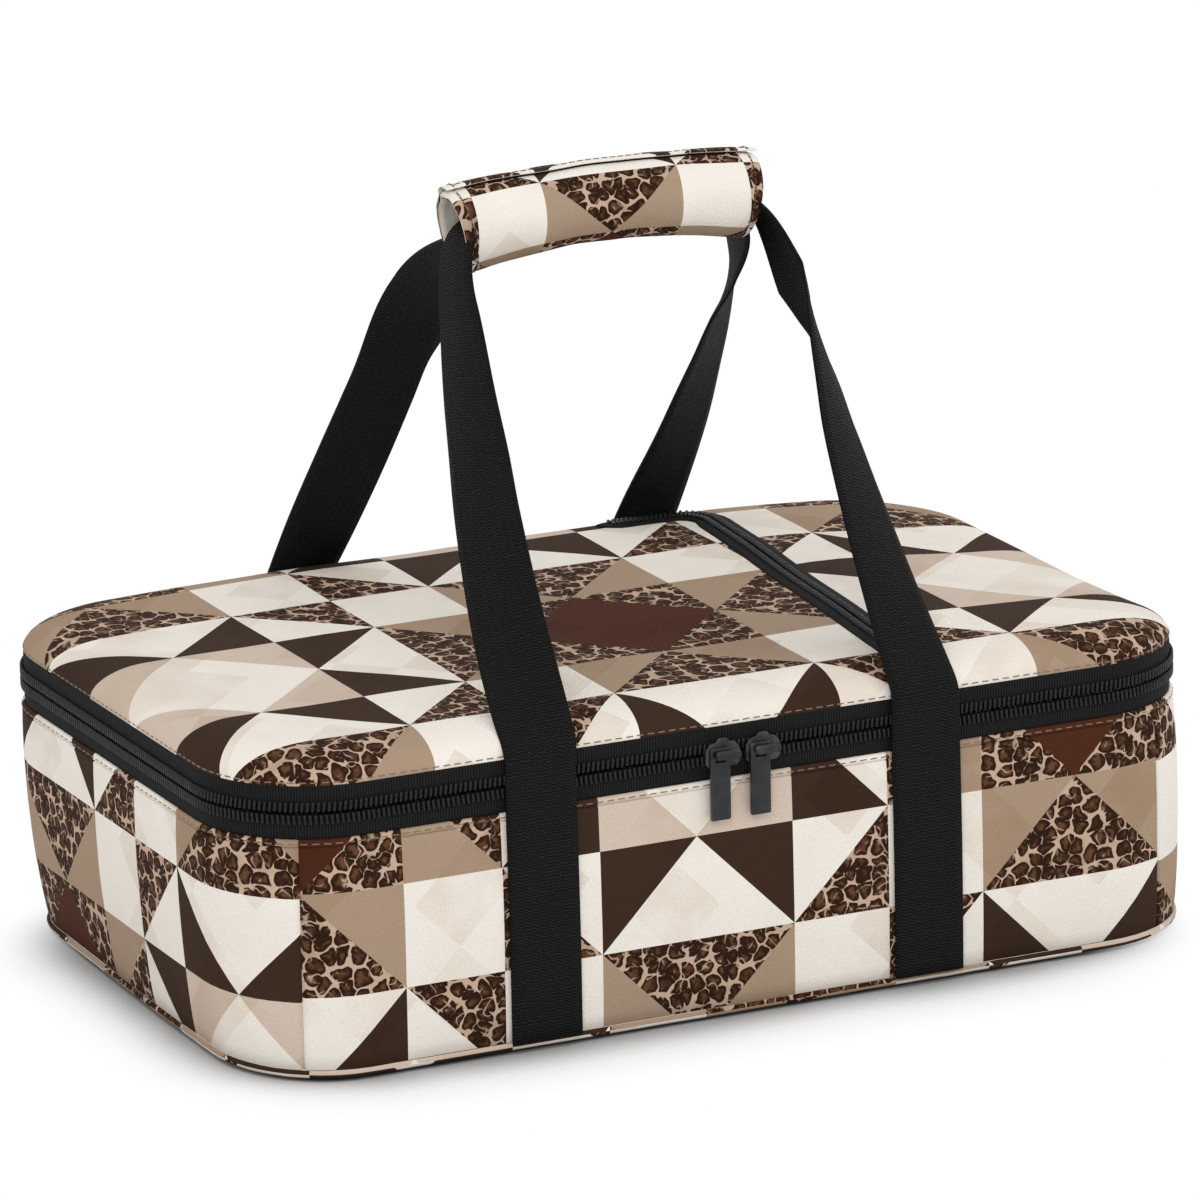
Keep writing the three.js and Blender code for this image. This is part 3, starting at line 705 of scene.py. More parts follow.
def makePiping():
    rows = []
    for share in evenShares(foot["sides"]):
        angle = 2 * math.pi * share
        row = []
        for mark in roundMarks:
            place = outlineAt(mark)[0]
            radius = foot["pipeRadius"] * (1 + wave((place.x, place.y, 0), 0.012, 0.10))
            inset = foot["pipeInset"] + sum(footTuck(mark)) - radius * math.cos(angle)
            z = foot["pipeHeight"] + radius * math.sin(angle)
            row.append((rimPoint(mark, inset, z), (mark, foot["pipeRadius"] * angle)))
        rows.append(row)
    clothPiece(rows, 0, "rolled_piping", [pipingPrint], "bag", ["bottom_piping"])


def makeBase():
    rows = []
    for inset, z in foot["clothRows"]:
        places = [rimPoint(mark, inset + sum(footTuck(mark)), z) for mark in roundMarks]
        rows.append([(place, tuple(place.xy)) for place in places])
    closeOver(rows, rows[-1], (0.25, 0.5, 0.75, 1.0))
    clothPiece(rows, foot["clothThick"], "bag_base", [baseCloth], "bag",
               ["bottom_panel"], 1e-5)


makePiping()
makeBase()


# crowned lid cover
lid = {
    "rimInset": 0.0009, "shoulder": 0.0235, "rows": 14, "ripple": 0.0007, "thick": 0.0010,
    "cornerDrop": {-1: (0.0026, 0.5, 1.5), 1: (0.0072, 1.0, 1.0)},
    "crownInset": 0.006, "crownShares": (0.0, 0.08, 0.16, 0.25, 0.35, 0.46, 0.58, 0.7, 0.82, 0.92, 1.0),
}


def lidSag(place):
    # soft ripples, a corner at the left back and an end at the right that have dropped a little
    along = ease((abs(place.x) / halfLength - 0.5) / 0.5)
    drop, start, span = lid["cornerDrop"][1 if place.x > 0 else -1]
    deep = ease((place.y / halfWidth + start) / span)
    return wave(place, 0.05, lid["ripple"], 5) - drop * along * deep


def lidProfile():
    rise = bag["lidTop"] - bag["bandTop"]
    points = [(0.0016, bag["bandTop"] - 0.0006, 0.0), (lid["rimInset"], bag["bandTop"] + 0.0002, 0.001)]
    for share in evenShares(lid["rows"])[1:]:
        angle = math.pi / 2 * share
        inset = lid["rimInset"] + lid["shoulder"] * (1 - math.cos(angle))
        z = bag["bandTop"] + 0.0002 + (rise - 0.0002) * math.sin(angle)
        before = points[-1]
        points.append((inset, z, before[2] + math.hypot(inset - before[0], z - before[1])))
    return points


def makeLid():
    profile = lidProfile()
    edge = profile[-1]
    rows = []
    for inset, z, run in profile:
        share = max(0, (z - bag["bandTop"]) / (bag["lidTop"] - bag["bandTop"]))
        row = []
        for mark in roundMarks:
            place = rimPoint(mark, inset, z)
            place.z += lidSag(place) * share
            # the print is laid flat outwards from the crown
            flat = rimPoint(mark, edge[0] - (edge[2] - run), z)
            row.append((place, (flat.x, flat.y)))
        rows.append(row)
    closeOver(rows, ringAt(edge[0] + lid["crownInset"], bag["lidTop"]), lid["crownShares"], lidSag)
    piece = clothPiece(rows, lid["thick"], "lid_top", [lidPrint], "lid",
                       ["lid_cover"], 1e-5)


makeLid()
print("lid made")


# zip round the rim
zipBand = {
    "tapeInset": 0.0010, "tapeSwell": 0.00025, "tapeThick": 0.0008, "tapeGap": 0.0007, "tapeRows": 8,
    "toothPitch": 0.0021, "toothSize": (0.00135, 0.0014, 0.0041), "toothBevel": 0.00042, "toothLean": 0.10,
    "groove": 0.0010, "stitchPitch": 0.0046, "stitchSize": (0.0030, 0.0006, 0.0005),
    "stitchBevel": 0.0002, "wallStitch": 0.0016, "lidStitch": 0.0013,
}
bandLow = bag["wallTop"] - 0.0002
bandHigh = bag["bandTop"] + 0.0001
zipFrom = backCorner
zipTo = perimeter - backCorner
upward = Vector((0, 0, 1))


def makeTape(name, low, high, body, node):
    marks = marksBetween(zipFrom, zipTo)
    rows = []
    for share in evenShares(zipBand["tapeRows"]):
        z = low + (high - low) * share
        inset = zipBand["tapeInset"] - zipBand["tapeSwell"] * math.sin(math.pi * share)
        rows.append([(rimPoint(mark, inset, z), (mark, z)) for mark in marks])
    clothPiece(rows, zipBand["tapeThick"], name, [tapeCloth], body, [node])


def rimSeat(distance, inset, z):
    out = outlineAt(distance)[1].to_3d()
    return seat(rimPoint(distance, inset, z), Vector((-out.y, out.x, 0)), out, upward)


def makeTeeth(name, side, body, node):
    size = zipBand["toothSize"]
    z = zipSplit + side * (zipBand["groove"] / 2 + size[2] / 2)
    lean = Matrix.Rotation(zipBand["toothLean"] * side, 4, "Y")
    count = int((zipTo - zipFrom) / zipBand["toothPitch"])
    marks = [zipFrom + (step + 0.5 + 0.25 * side) * zipBand["toothPitch"] for step in range(count)]
    barPiece(name, [rimSeat(mark, 0.0, z) @ lean for mark in marks], size, zipBand["toothBevel"],
             coilNylon, body, [node])


def wallStitchSpot(mark):
    z = bag["wallTop"] - zipBand["wallStitch"]
    return wallInset(z, mark, 1) - 0.00005, z


def lidStitchSpot(mark):
    # follows the cover where its end has dropped
    rise = zipBand["lidStitch"]
    edge = rimPoint(mark, lid["rimInset"], bag["bandTop"])
    sag = lidSag(edge) * rise / (bag["lidTop"] - bag["bandTop"])
    return lid["rimInset"] + 0.00017, bag["bandTop"] + rise + 1.2 * min(0, sag)


def makeStitches(name, spotOf, body):
    stands = []
    count = int(perimeter / zipBand["stitchPitch"])
    for step in range(count):
        mark = (step + 0.5) * perimeter / count
        tilt = Matrix.Rotation(draw.uniform(-0.05, 0.05), 4, "Y")
        stands.append(rimSeat(mark, *spotOf(mark)) @ tilt)
    barPiece(name, stands, zipBand["stitchSize"], zipBand["stitchBevel"], sandThread, body)


makeTape("lower_tape", bandLow, zipSplit - zipBand["tapeGap"], "bag", "lower_zip_tape")
makeTape("upper_tape", zipSplit + zipBand["tapeGap"], bandHigh, "lid", "upper_zip_tape")
makeTeeth("lower_teeth", -1, "bag", "lower_zip_coil")
makeTeeth("upper_teeth", 1, "lid", "upper_zip_coil")
makeStitches("wall_topstitch", wallStitchSpot, "bag")
makeStitches("lid_topstitch", lidStitchSpot, "lid")
print("rim zip made")


# webbing loops: sewn down the wall, over the lid's edge, then each side twists a quarter turn
# and bends into the grip
# each side's rows: height and place along the bag in millimetres, and turn in degrees
strap = {
    "width": 0.030, "thick": 0.0018, "standoff": 0.00165, "bottom": 0.0040, "bendZ": 0.117,
    "bendRadius": 0.014, "gripWide": 0.0200, "curl": 0.0022, "gripZ": 0.2974,
    "neckZ": 0.2640, "neckY": 0.0200, "columns": 10, "wrapMiddle": 0.0062, "wrapLong": 0.130,
    "wallSteps": 16, "bendSteps": 8, "neckSteps": 40, "gripSteps": 24, "turnSteps": 15, "tightSteps": 27,
    "wallPuff": 0.0006, "selvedge": 0.00018, "blend": (0.091, 0.104), "gripIn": 0.012,
    "rimHeights": (0.098, 0.102, 0.106, 0.110, 0.1135),
    "grip": {"front": (-0.0015, 0.2983), "back": (0.0015, 0.2913)},
    "front": {
        -1: ((117, -88, 0), (150, -86.5, 38), (171, -84.6, 52), (198, -80.6, 64), (218, -76.6, 71),
             (238, -72.9, 79), (264, -67.2, 88)),
        1: ((117, 80, 0), (155, 79.2, 22), (190, 79.8, 38), (211, 80.9, 46), (228, 82.6, 55),
            (242, 83.2, 66), (256, 82.6, 82), (264, 81.7, 91)),
        "bend": (0.046, 0.050),
    },
    "back": {
        -1: ((117, -71.5, 0), (152, -69.9, 15), (183, -68.2, 18), (214, -66.9, 14), (234, -66.4, 12),
             (250, -65.4, 32), (264, -64.2, 62)),
        1: ((117, 86, 0), (142, 85.4, 7), (174, 84.9, 22), (200, 82.9, 34), (221, 81.1, 43),
            (242, 78.2, 52), (252, 76.4, 60), (264, 74.0, 72)),
        "bend": (0.046, 0.030),
    },
}


def curveBetween(start, leave, goal, arrive, share):
    square, cube = share ** 2, share ** 3
    return (start * (2 * cube - 3 * square + 1) + leave * (cube - 2 * square + share)
            + goal * (3 * square - 2 * cube) + arrive * (cube - square))


def followRows(rows, height):
    # place and turn on the smooth curve through a side's rows
    height = max(rows[0][0], min(rows[-1][0], height))
    index = max(step for step in range(len(rows) - 1) if rows[step][0] <= height)
    low, high = rows[index], rows[index + 1]
    before, after = rows[max(0, index - 1)], rows[min(len(rows) - 1, index + 2)]
    span = high[0] - low[0]
    values = []
    for part in (1, 2):
        leave = (high[part] - before[part]) / (high[0] - before[0]) * span
        arrive = (after[part] - low[part]) / (after[0] - low[0]) * span
        values.append(curveBetween(low[part], leave, high[part], arrive, (height - low[0]) / span))
    return values


def strapSide(loop, end):
    # stations of one side from the bottom seam to the grip: place, directions along and across,
    # width and curl
    facing = -1 if loop == "front" else 1
    rows = strap[loop][end]
    face = halfWidth + strap["standoff"]
    bendZ, radius = strap["bendZ"], strap["bendRadius"]
    lean = math.atan2(face - strap["neckY"], strap["neckZ"] - bendZ)
    path = []
    for share in evenShares(strap["wallSteps"]):
        z = strap["bottom"] + (bag["wallTop"] - 0.004 - strap["bottom"]) * share
        reach = (z - wall["foot"]) / (bag["wallTop"] - wall["foot"])
        puff = strap["wallPuff"] * math.sin(math.pi * max(0, reach))
        path.append((face - wall["tuck"][loop] * (1 - reach) + puff, z))
    path += [(face, z) for z in strap["rimHeights"]]
    for share in evenShares(strap["bendSteps"]):
        angle = lean * share
        path.append((face - radius * (1 - math.cos(angle)), bendZ + radius * math.sin(angle)))
    low, high = Vector(path[-1]), Vector((strap["neckY"], strap["neckZ"]))
    path += [tuple(low.lerp(high, share)) for share in evenShares(strap["neckSteps"])[1:]]
    places, turns = [], []
    for y, z in path:
        x, turn = followRows(rows, z * 1000)
        places.append(Vector((x / 1000, facing * y, z)))
        turns.append(turn)
    gripY, gripZ = strap["grip"][loop]
    inside = Vector((strap["wrapMiddle"] + end * (strap["wrapLong"] / 2 - strap["gripIn"]), gripY, gripZ))
    bend = strap[loop]["bend"][0 if end < 0 else 1]
    leave = (places[-1] - places[-2]).normalized() * bend
    start, last = places[-1].copy(), turns[-1]
    arrive = Vector((-end * bend, 0, 0))
    for step in range(1, strap["gripSteps"] + 1):
        places.append(curveBetween(start, leave, inside, arrive, step / strap["gripSteps"]))
        turns.append(last + (90 - last) * ease(step / strap["turnSteps"]))
    stations = []
    for index, (place, turn) in enumerate(zip(places, turns)):
        before = places[max(0, index - 1)]
        after = places[min(len(places) - 1, index + 1)]
        along = (after - before).normalized()
        turn = math.radians(turn)
        across = Vector((math.cos(turn), end * math.sin(turn), 0))
        across = (across - along * across.dot(along)).normalized()
        tight = ease((index - len(places) + 1) / strap["tightSteps"] + 1)
        wide = strap["width"] + (strap["gripWide"] - strap["width"]) * tight
        curl = strap["curl"] * turn / math.pi * 2 * (1 - 0.6 * tight)
        stations.append((place, along, across, wide, curl))
    return stations


def makeStrap(loop):
    left = strapSide(loop, -1)
    right = strapSide(loop, 1)
    stations = left + [(place, -along, -across, wide, curl)
                       for place, along, across, wide, curl in reversed(right)]
    bm = startMesh()
    rows = []
    run = 0.0
    top = [(share * 2 - 1, 1) for share in evenShares(strap["columns"])]
    under = [(-side, -1) for side, thick in top]
    for index, (place, along, across, wide, curl) in enumerate(stations):
        run += (place - stations[max(0, index - 1)][0]).length
        normal = along.cross(across).normalized()
        row = []
        for side, thick in top + under + top[:1]:
            edge = strap["thick"] / 2 * (1 if abs(side) < 0.99 else 0.55)
            dome = curl * (side * side - 0.4)
            ridge = strap["selvedge"] if 0.75 < abs(side) < 0.95 else 0
            point = place + across * (side * wide / 2) + normal * (thick * (edge + ridge) + dome)
            row.append((point, (side * strap["width"] / 2 + (0.05 if thick < 0 else 0), run)))
        rows.append(row)
    loft(bm, rows)
    capEnds(bm)
    piece = finishPiece(loop + "_webbing", bm, [webbing], None, [
        loop + "_left_strap_leg", loop + "_right_strap_leg", loop + "_strap_loop"])
    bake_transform(piece)


makeStrap("front")
makeStrap("back")
print("webbing made")


# padded handle wrap: arched, slimmer in the middle, with a flap lapped over the top
wrap = {
    "halfDepth": 0.0145, "halfHeight": 0.0173, "waist": 0.0017, "arch": 0.0050, "tilt": 0.19,
    "thick": 0.0040, "top": 108, "bottom": -93, "lap": 82, "foldFrom": 210, "flapEnd": 266,
    "lapThick": 0.0010, "tapeThick": 0.0004, "tapeAngles": (84, 89, 94, 99, 104), "tapeReach": 0.76,
    "tapeSteps": 24, "columns": 32, "hemFrom": 0.0036, "hemDip": 0.0004, "stitchPitch": 0.0034,
    "stitchSize": (0.0026, 0.0005, 0.0005), "stitchBevel": 0.00018, "lapStitchReach": 0.94,
    "lapStitchIn": 7, "foldWay": (0, 0.85, 0.53), "foldStart": 0.0062, "foldEnd": 0.0036,
}
wrapHem = 1 - wrap["hemFrom"] / (strap["wrapLong"] / 2)


def wrapSpot(angle, along, offset):
    # a point on the oval: angle from the front over the top, along from -1 to 1
    waist = wrap["waist"] * (1 - along * along)
    depth = wrap["halfDepth"] - waist * 0.5 + offset
    height = wrap["halfHeight"] - waist + offset
    x = strap["wrapMiddle"] + along * strap["wrapLong"] / 2
    turn = math.radians(angle)
    dimple = wave((x, math.cos(turn) * 0.02, math.sin(turn) * 0.02), 0.016, 0.0005, 2)
    arch = wrap["arch"] * (0.5 - along * along)
    rise = (height + dimple) * math.sin(turn)
    return Vector((x + wrap["tilt"] * along * rise, -(depth + dimple) * math.cos(turn),
                   strap["gripZ"] + arch + rise))


def wrapLayer(flap, angle):
    # outer offset and thickness of each part; the flap thins where it laps over the other
    if not flap:
        return 0.0, wrap["thick"]
    lapped = ease((angle - wrap["top"] - 1) / 12)
    outer = wrap["lapThick"] + wrap["tapeThick"] * 2 + 0.0002
    return outer * (1 - lapped), wrap["lapThick"] + (wrap["thick"] - wrap["lapThick"]) * lapped


def makeWrapPart(name, first, last, flap, body, nodes):
    bm = startMesh()
    steps = max(6, round((last - first) / 6))
    angles = [first + (last - first) * share for share in evenShares(steps)]
    loop = [(angle, 0.0) for angle in angles]
    loop += [(last + 1.2, 0.18), (last + 1.8, 0.5), (last + 1.2, 0.82)]
    loop += [(angle, 1.0) for angle in reversed(angles)]
    loop += [(first - 1.2, 0.82), (first - 1.8, 0.5), (first - 1.2, 0.18), (first, 0.0)]
    rows = []
    marks = [2 * share - 1 for share in evenShares(wrap["columns"])]
    ends = (wrapHem - 0.02, wrapHem, wrapHem + 0.02, 0.985, 0.996, 1.0)
    marks = sorted([mark for mark in marks if abs(mark) < wrapHem - 0.03]
                   + [way * end for way in (-1, 1) for end in ends])
    for along in marks:
        fold = ease((abs(along) - 0.975) / 0.025)
        dip = wrap["hemDip"] * max(0, 1 - abs(abs(along) - wrapHem) / 0.015)
        row = []
        for angle, depth in loop:
            outer, thick = wrapLayer(flap, angle)
            offset = outer - thick / 2 + (0.5 - depth) * thick * (1 - 0.5 * fold)
            offset -= dip * (0.5 - depth) * 2
            spot = wrapSpot(angle, along, offset)
            reach = math.radians(angle) * wrap["halfHeight"]
            row.append((spot, (spot.x, reach + (0.06 if depth > 0.9 else 0))))
        rows.append(row)
    loft(bm, rows)
    capEnds(bm)
    bmesh.ops.recalc_face_normals(bm, faces=bm.faces)
    for face in bm.faces:
        centre = face.calc_center_median()
        radial = Vector((0, centre.y, centre.z - strap["gripZ"])).normalized()
        face.material_index = 1 if face.normal.dot(radial) < -0.3 else 0
    piece = finishPiece(name, bm, [wrapPrint, paleCloth], body, nodes)
    return piece


def makeWrapTape(name, lift, body, node):
    # hook or loop strip under the lap
    rows = []
    for angle in wrap["tapeAngles"]:
        row = []
        for share in evenShares(wrap["tapeSteps"]):
            along = wrap["tapeReach"] * (2 * share - 1)
            spot = wrapSpot(angle, along, lift + wrap["tapeThick"])
            row.append((spot, (spot.x, math.radians(angle) * wrap["halfHeight"])))
        rows.append(row)
    clothPiece(rows, wrap["tapeThick"] * 0.9, name, [tapeCloth], body, [node], way=1)


def makeWrapStitch(name, first, last, flap, body):
    # a ring of dark stitches along each hem, and a row along the lap
    spots = []
    count = round(math.radians(last - first) * wrap["halfHeight"] / wrap["stitchPitch"])
    for along in (-wrapHem, wrapHem):
        for step in range(count):
            angle = first + (last - first) * (step + 0.5) / count
            spots.append((angle, along, wrapSpot(angle + 2, along, 0) - wrapSpot(angle - 2, along, 0)))
    if flap:
        reach = wrap["lapStitchReach"]
        count = round(strap["wrapLong"] * reach / wrap["stitchPitch"])
        angle = first + wrap["lapStitchIn"]
        for step in range(count):
            along = -reach + 2 * reach * (step + 0.5) / count
            ahead = wrapSpot(angle, along + 0.02, 0) - wrapSpot(angle, along - 0.02, 0)
            spots.append((angle, along, ahead))
    stands = []
    for angle, along, ahead in spots:
        place = wrapSpot(angle, along, wrapLayer(flap, angle)[0] + 0.00002)
        out = (wrapSpot(angle, along, 0.001) - wrapSpot(angle, along, 0)).normalized()
        ahead = (ahead - out * ahead.dot(out)).normalized()
        stands.append(seat(place, ahead, out, ahead.cross(out)))
    barPiece(name, stands, wrap["stitchSize"], wrap["stitchBevel"], brownThread, body)


makeWrapPart("handle_wrap", wrap["bottom"], wrap["top"], False, "front_loop",
             ["wrap_cover", "wrap_padding", "wrap_lining"])
makeWrapPart("handle_flap", wrap["lap"], wrap["foldFrom"], True, "wrap_flap",
             ["flap_cover", "flap_padding", "flap_lining"])
# the strip between them, attached to neither body
wrapFold = makeWrapPart("handle_fold", wrap["foldFrom"], wrap["flapEnd"], True, None, ())
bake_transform(wrapFold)
makeWrapTape("lap_loop_tape", 0.0, "front_loop", "wrap_loop_tape")
makeWrapTape("lap_hook_tape", wrap["tapeThick"], "wrap_flap", "flap_hook_tape")
makeWrapStitch("handle_wrap_stitch", wrap["bottom"] + 4, wrap["lap"] - 4, False, "front_loop")
makeWrapStitch("handle_flap_stitch", wrap["lap"], wrap["foldFrom"] - 2, True, "wrap_flap")
print("wrap made")


# short zip across the lid: slants back from the front edge, turns and runs along the back
lidZip = {
    "front": (0.080, -0.118), "slant": (0.0985, 0.9951), "centre": (0.0874, 0.099), "radius": 0.014,
    "tip": 0.0555, "lift": 0.0009, "step": 0.004, "tapeThick": 0.0007, "narrowFrom": 0.21,
    "toothPitch": 0.0021, "toothSize": (0.0033, 0.00135, 0.0013), "toothBevel": 0.0004, "toothFrom": 0.0006,
    # offset of each row of the tape, and its share of the lift
    "tape": ((0.0006, 0.5), (0.0022, 1.0), (0.0044, 1.0), (0.0066, 0.9), (0.0078, 0.55), (0.0082, -0.15)),
}


def lidHeight(x, y):
    qx = abs(x) - (halfLength - bag["corner"])
    qy = abs(y) - (halfWidth - bag["corner"])
    inset = bag["corner"] - math.hypot(max(qx, 0), max(qy, 0)) - min(max(qx, qy), 0)
    share = max(0.0, min(1.0, (inset - lid["rimInset"]) / lid["shoulder"]))
    rise = math.sqrt(max(0.0, 1 - (1 - share) ** 2))
    z = bag["bandTop"] + (bag["lidTop"] - bag["bandTop"]) * rise
    return z + wave((x, y, z), 0.05, lid["ripple"], 5) * rise


def lidZipPath(spacing):
    # places along the closed zip with the direction to its right
    slant = Vector(lidZip["slant"]).normalized()
    front = Vector(lidZip["front"])
    centre = Vector(lidZip["centre"])
    touch = centre + Vector((slant.y, -slant.x)) * lidZip["radius"]
    run = (touch - front).length
    start = math.atan2(touch.y - centre.y, touch.x - centre.x)
    bend = (math.pi / 2 - start) * lidZip["radius"]
    back = centre.x - lidZip["tip"]
    total = run + bend + back
    path = []
    for share in evenShares(round(total / spacing)):
        d = total * share
        if d <= run:
            path.append((front + slant * d, Vector((slant.y, -slant.x)), d))
        elif d <= run + bend:
            angle = start + (d - run) / lidZip["radius"]
            out = Vector((math.cos(angle), math.sin(angle)))
            path.append((centre + out * lidZip["radius"], out, d))
        else:
            place = Vector((centre.x - (d - run - bend), centre.y + lidZip["radius"]))
            path.append((place, Vector((0, 1)), d))
    return path


def makeLidTape(name, side, node):
    rows = []
    path = lidZipPath(lidZip["step"])
    total = path[-1][2]
    for offset, lift in lidZip["tape"]:
        row = []
        for place, out, d in path:
            reach = offset * (1 - 0.75 * ease((d - total + 0.010) / 0.010) ** 2)
            if side < 0:
                reach *= 1 - 0.12 * ease((d - lidZip["narrowFrom"]) / 0.01)
            spot = place + out * side * reach
            z = lidHeight(spot.x, spot.y) + lidZip["lift"] * lift
            row.append((Vector((spot.x, spot.y, z)), (d, side * offset)))
        rows.append(row)
    clothPiece(rows, lidZip["tapeThick"], name, [tapeCloth], "lid", [node], way=1)


def makeLidTeeth(name, side, node):
    stands = []
    for place, out, _ in lidZipPath(lidZip["toothPitch"])[2:-3]:
        spot = place + out * side * (lidZip["toothFrom"] + lidZip["toothSize"][0] / 2)
        z = lidHeight(spot.x, spot.y) + lidZip["lift"] + 0.0003
        stands.append(seat((spot.x, spot.y, z), out.to_3d(), Vector((-out.y, out.x, 0)), upward))
    barPiece(name, stands, lidZip["toothSize"], lidZip["toothBevel"], coilNylon, "lid", [node])


makeLidTape("lid_tape_left", -1, "pocket_zip_tape_left")
makeLidTape("lid_tape_right", 1, "pocket_zip_tape_right")
makeLidTeeth("lid_teeth_left", -1, "pocket_zip_coil_left")
makeLidTeeth("lid_teeth_right", 1, "pocket_zip_coil_right")
print("lid zip made")


# zip sliders: a humped body with a rounded crown bar, and a flat pull hung on the crown
slider = {
    "bodyWide": 0.0150, "bodyTall": 0.0105, "bodyThick": 0.0015, "backLift": 0.0037, "pegAt": -0.0020,
    "postAt": 0.0050, "barLift": 0.0043, "barSize": (0.0112, 0.0026, 0.0038), "barAt": 0.0004,
    "pullWide": 0.0086, "pullLong": 0.0295, "pocketPullLong": 0.0172, "pullThick": 0.0015, "limb": 0.0020,
    "hole": 0.0046, "holeTall": 0.0030, "rim": 0.0008, "pullOut": 0.0028, "pullUp": 0.0032,
}


def plateFromOutline(bm, points, thick, matrix, bevel):
    verts = [bm.verts.new((x, 0, z)) for x, z in points]
    face = bm.faces.new(verts)
    made = bmesh.ops.extrude_face_region(bm, geom=[face])["geom"]
    lifted = [part for part in made if isinstance(part, bmesh.types.BMVert)]
    bmesh.ops.translate(bm, verts=lifted, vec=(0, thick, 0))
    edges = list({edge for vert in verts + lifted for edge in vert.link_edges})
    bmesh.ops.transform(bm, matrix=matrix, verts=verts + lifted)
    softenEdges(bm, edges, bevel, 2)


def makeSlider(name, matrix, body, node):
    # local x along the zip, y out of the face, z across it
    bm = startMesh()
    wide, tall = slider["bodyWide"] / 2, slider["bodyTall"] / 2
    outline = [(-wide, -tall * 0.7), (-wide * 0.8, -tall), (wide * 0.8, -tall), (wide, -tall * 0.7),
               (wide, tall * 0.35), (wide * 0.72, tall * 0.85), (wide * 0.4, tall * 0.95),
               (wide * 0.25, tall * 1.25), (-wide * 0.25, tall * 1.25), (-wide * 0.4, tall * 0.95),
               (-wide * 0.72, tall * 0.85), (-wide, tall * 0.35)]
    plateFromOutline(bm, outline, slider["bodyThick"], matrix, 0.00045)
    plateFromOutline(bm, [(x * 0.92, z * 0.92) for x, z in outline], 0.001,
                     matrix @ Matrix.Translation((0, -slider["backLift"] - 0.0002, 0)), 0.0003)
    roundBar(bm, matrix @ Matrix.Translation((0, -slider["backLift"] / 2, tall * 0.2)),
             (0.0012, slider["backLift"], 0.0030), 0.0003)
    lift = slider["bodyThick"] + slider["barLift"] / 2
    for across, size in ((slider["pegAt"], 0.0021), (slider["postAt"], 0.0012)):
        roundBar(bm, matrix @ Matrix.Translation((across, lift - 0.0006, -0.0001)),
                 (size, slider["barLift"], size), size * 0.28, 2)
    crown = (slider["barAt"], slider["bodyThick"] + slider["barLift"] - 0.0006, 0.0006)
    roundBar(bm, matrix @ Matrix.Translation(crown), slider["barSize"], 0.00125, 3)
    finishPiece(name, bm, [darkEnamel], body, [node])


def makePull(name, matrix, body, node, long):
    # a flat tab with a hole near its top and a raised rim round its face
    bm = startMesh()
    half = slider["pullWide"] / 2
    gap = slider["hole"] / 2
    rows = [0.0, -slider["limb"], -slider["limb"] - slider["holeTall"], -long + 0.0006, -long]
    grid = []
    for z in rows:
        narrow = 0.92 if z == rows[-1] else 1
        grid.append([bm.verts.new((x * narrow, 0, z)) for x in (-half, -gap, gap, half)])
    for r in range(len(rows) - 1):
        for c in range(3):
            if (r, c) != (1, 1):
                bm.faces.new((grid[r][c], grid[r][c + 1], grid[r + 1][c + 1], grid[r + 1][c]))
    bmesh.ops.recalc_face_normals(bm, faces=bm.faces)
    low = [face for face in bm.faces if face.calc_center_median().z < rows[2]]
    bmesh.ops.inset_region(bm, faces=low, thickness=slider["rim"], depth=-0.00022)
    bmesh.ops.transform(bm, matrix=matrix, verts=bm.verts)
    piece = finishPiece(name, bm, [darkEnamel], body, [node])
    thicken(piece, slider["pullThick"], 0)
    soft = piece.modifiers.new("soft", "BEVEL")
    soft.width = 0.00028
    soft.segments = 2
    soft.limit_method = "ANGLE"


coilFace = 0.1343
facing = Matrix(((1, 0, 0), (0, -1, 0), (0, 0, 1))).to_4x4()
slant = Vector(lidZip["slant"]).normalized()
onLid = Matrix(((slant.x, 0, -slant.y), (slant.y, 0, slant.x), (0, 1, 0))).to_4x4()
for side, place, turn, pullLong in (
        ("left", (-0.0095, -coilFace, zipSplit), facing, slider["pullLong"]),
        ("right", (0.008, -coilFace, zipSplit), facing, slider["pullLong"]),
        ("pocket", (0.080886, -0.109044, 0.1334), onLid, slider["pocketPullLong"])):
    stand = Matrix.Translation(place) @ turn
    makeSlider(side + "_slider_body", stand, side + "_slider_body", side + "_slider")
    hang = stand @ Matrix.Translation((slider["pegAt"], slider["pullOut"], slider["pullUp"]))
    makePull(side + "_slider_pull", hang, side + "_pull_body", side + "_pull", pullLong)
print("sliders made")


# foil lining of the bag and of the lid, and the cloth hinge at the back
lining = {
    "rimIn": 0.0021, "wallIn": 0.0080, "top": 0.1062, "floor": 0.0104, "cove": 0.008, "coveSteps": 6,
    "ripple": 0.0006, "lidRipple": 0.0012, "thick": 0.0016, "floorIn": 0.02, "lidUnder": 0.1199,
    "lidIn": 0.030, "shares": (0, 0.1, 0.22, 0.36, 0.52, 0.7, 0.86, 1.0),
    "pocketIn": 0.030, "pocketDrop": 0.0030, "pocketThick": 0.0004,
    "pocketShares": (0, 0.15, 0.3, 0.45, 0.6, 0.75, 0.9, 1.0),
    "hingeThick": 0.0009, "hingeColumns": 32, "hingeRows": 14,
}


def foilPiece(rows, name, body, nodes, way):
    # foil towards the food; the sheet is thickened behind it in place of the foam
    piece = clothPiece(rows, lining["thick"], name, [liningFoil], body, nodes, 1e-5, way)


